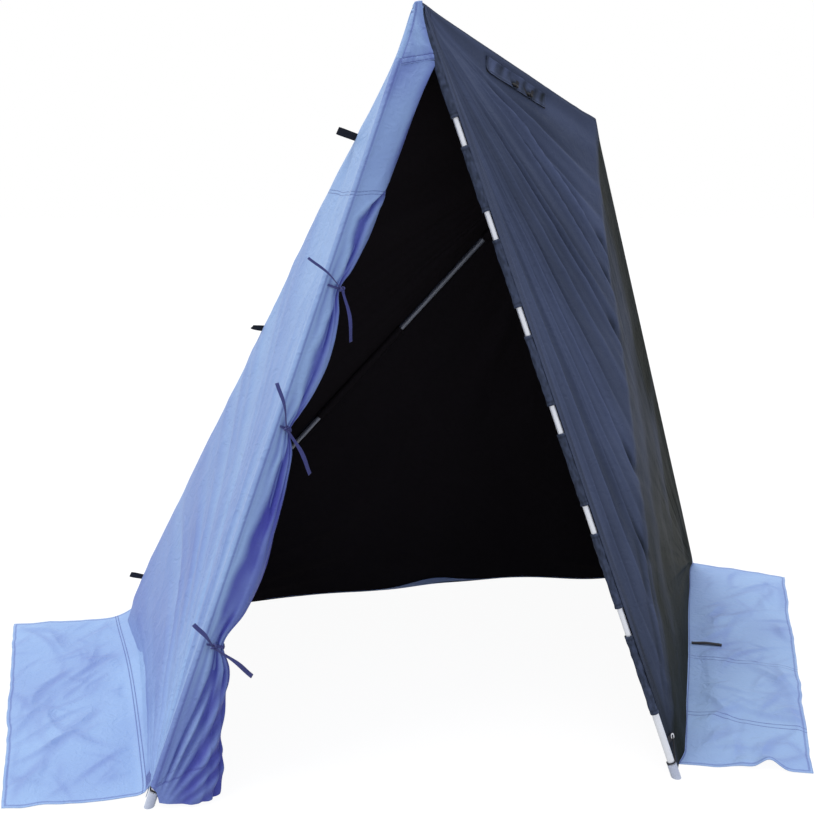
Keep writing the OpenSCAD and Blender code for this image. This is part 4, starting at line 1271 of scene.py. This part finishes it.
def vent_toggles():
    """Toggles: a spindle whose radius narrows at its waist, and the cord loop round it."""
    s = np.linspace(-1, 1, 30)[:, None]
    radius = 0.0035 * np.sqrt(np.clip(1 - np.abs(s) ** 5, 0.02, 1)) * (1 - 0.22 * bell(s, 0, 0.22))
    angle = np.linspace(0, FULL_TURN, 24, endpoint=False)[None]
    t = np.linspace(0, FULL_TURN, 40)
    parts = []
    for middle in TOGGLES:
        x, z = TOGGLE_DOWN + radius * np.cos(angle), TOGGLE_OUT + radius * np.sin(angle)
        parts.append(patch(on_vent(x, middle + 0.013 * s, z), wrap=True, caps=True))
        loop = on_vent(TOGGLE_DOWN + 0.0036 * np.cos(t), middle, TOGGLE_OUT + 0.0036 * np.sin(t))
        parts.append(ribbon(loop, VENT_ALONG, 0.0018, 0.0018, closed=True))
    obj = piece("vent_toggle_pegs", parts, [TOGGLE])
    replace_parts(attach(obj, "vent_cover"), "vent_toggles")


vent_cover()
vent_toggles()


def guy_loops():
    """Webbing folded into flat loops on the left crease: a teardrop path that leaves the seam, bends back and
    returns. The middle one is shorter and lies twisted."""
    run = unit(REAR_LEFT - FRONT_APEX)
    out = unit(LEFT_FRONT_PANEL - 0.06 * UPWARD)
    flat = unit(np.cross(out, run))
    t = np.linspace(0, 1, 60)
    arch = np.sin(np.pi * t)
    parts = []
    for s, twisted in ((0.382, 0), (1.044, 1), (2.160, 0)):
        reach = -0.012 + left_belly(s) * 0.95 + (0.058 - 0.012 * twisted) * arch**0.8
        gape = 0.0022 * np.sin(FULL_TURN * t) + 0.003 * twisted * arch
        path = FRONT_APEX + push(s + 0.006 * twisted * arch, run) + push(reach, out) + push(gape, flat)
        width = 0.022 - 0.009 * twisted * arch
        parts.append(ribbon(path, run, width, 0.0014, twist=0.5 * twisted * arch))
    on_tent(piece("guy_loop_webbing", parts, [WEBBING]), "guy_loops")


guy_loops()


def corner_trim():
    """Webbing leaf at each wall corner: rings from the eyelet's hole to an oval with squared ends. An
    elastic cord leaves the eyelet, goes round the foot tube and comes back. Both lie along the wall, up
    the pole and out."""
    eyelet, hole, elastic = 0.0364, 0.0056, 0.0034
    tube_r, loop_y = 0.0113, -0.0535
    share = np.linspace(0, 1, 8)[:, None]
    t = np.linspace(0, FULL_TURN, 72, endpoint=False)[None]
    x = (eyelet + hole * np.cos(t)) * (1 - share) + (0.0285 + 0.0175 * squared(np.cos(t), 0.4)) * share
    y = hole * np.sin(t) * (1 - share) + 0.008 * squared(np.sin(t), 0.4) * share
    leaf = stacked(x, y, 0.0040 + 0.0003 * np.sin(x * 900) * share)
    run = np.linspace(0, 1, 40)
    bend = np.radians(65 + 230 * run)
    line = lambda a, b: push(1 - run, np.array(a)) + push(run, np.array(b))
    path = np.concatenate([
        line((eyelet, -0.002, 0.0052), (0.0048, loop_y, 0.0102))[:-1],
        stacked(tube_r * np.cos(bend), loop_y, tube_r * np.sin(bend)),
        line((0.0048, loop_y, -0.0102), (eyelet, -0.004, -0.0030))[1:],
    ])
    path = np.stack([running_mean(values, 3) for values in path.T], -1)
    legs = (
        ("front_left", FRONT_APEX, FRONT_LEFT, REAR_LEFT),
        ("front_right", FRONT_APEX, FRONT_RIGHT, REAR_APEX),
        ("rear_left", REAR_APEX, REAR_LEFT, REAR_RIGHT),
        ("rear_right", REAR_APEX, REAR_RIGHT, REAR_LEFT),
    )
    leaves = []
    for name, apex, foot, corner in legs:
        up, out = unit(apex - foot), outward(foot, apex, corner)
        side = np.cross(up, out)
        side = side * np.sign(side @ (corner - foot))
        tab, axes = foot + up * TAB_UP, np.stack([side, up, out])
        leaves.append(patch(tab + leaf @ axes, wrap=True, inside=tab - out))
        cord_path = tab + path @ axes
        cord = piece(f"{name}_elastic", [ribbon(cord_path, up, elastic, elastic)], [ELASTIC])
        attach(cord, "tent")
    on_tent(piece("corner_tab_webbing", leaves, [WEBBING], 0.0018), "corner_tabs")


corner_trim()


# Floor, world and lamps


def background_rays(tree):
    """1 for the rays that see the background as it is: the camera's, and those off metal and through
    glass."""
    rays = add(tree, "ShaderNodeLightPath").outputs
    return largest(tree, rays["Is Camera Ray"], rays["Is Glossy Ray"], rays["Is Transmission Ray"])


def stage():
    """White floor that keeps the shadow, a white world for the camera, and soft light from the upper left."""
    far, under = 60, -0.0004
    mesh = bpy.data.meshes.new("floor")
    corners = [(-far, -far, under), (far, -far, under), (far, far, under), (-far, far, under)]
    mesh.from_pydata(corners, [], [(0, 1, 2, 3)])
    link("floor", mesh)
    material = bpy.data.materials.new("white_floor")
    material.use_nodes = True
    tree = material.node_tree
    shader = tree.nodes["Principled BSDF"]
    shader.inputs["Base Color"].default_value = (0.55, 0.55, 0.55, 1)
    shader.inputs["Roughness"].default_value = 0.9
    shader.inputs["Specular IOR Level"].default_value = 0.0
    seen = calc(tree, "MULTIPLY", background_rays(tree), 0.80)
    glow = add(tree, "ShaderNodeEmission", {"Color": (1, 1, 1, 1), "Strength": 1.19})
    mix = add(tree, "ShaderNodeMixShader", {0: seen, 1: shader.outputs[0], 2: glow.outputs[0]})
    tree.links.new(mix.outputs[0], tree.nodes["Material Output"].inputs["Surface"])
    mesh.materials.append(material)
    world = bpy.data.worlds.new("studio")
    bpy.context.scene.world = world
    world.use_nodes = True
    tree = world.node_tree
    back = tree.nodes["Background"].inputs
    sky = blend_colours(tree, background_rays(tree), (0.53, 0.575, 0.79, 1), (1, 1, 1, 1))
    tree.links.new(sky, back["Color"])
    back["Strength"].default_value = 1.0
    data = bpy.data.lights.new("key", "SUN")
    data.energy, data.angle, data.color = 1.68, 0.45, (1.0, 0.985, 0.88)
    lamp = link("key", data)
    lamp.rotation_euler = mathutils.Vector((-0.27, 0.04, 0.96)).to_track_quat("Z", "Y").to_euler()


stage()
bpy.context.scene.view_settings.view_transform = "Standard"
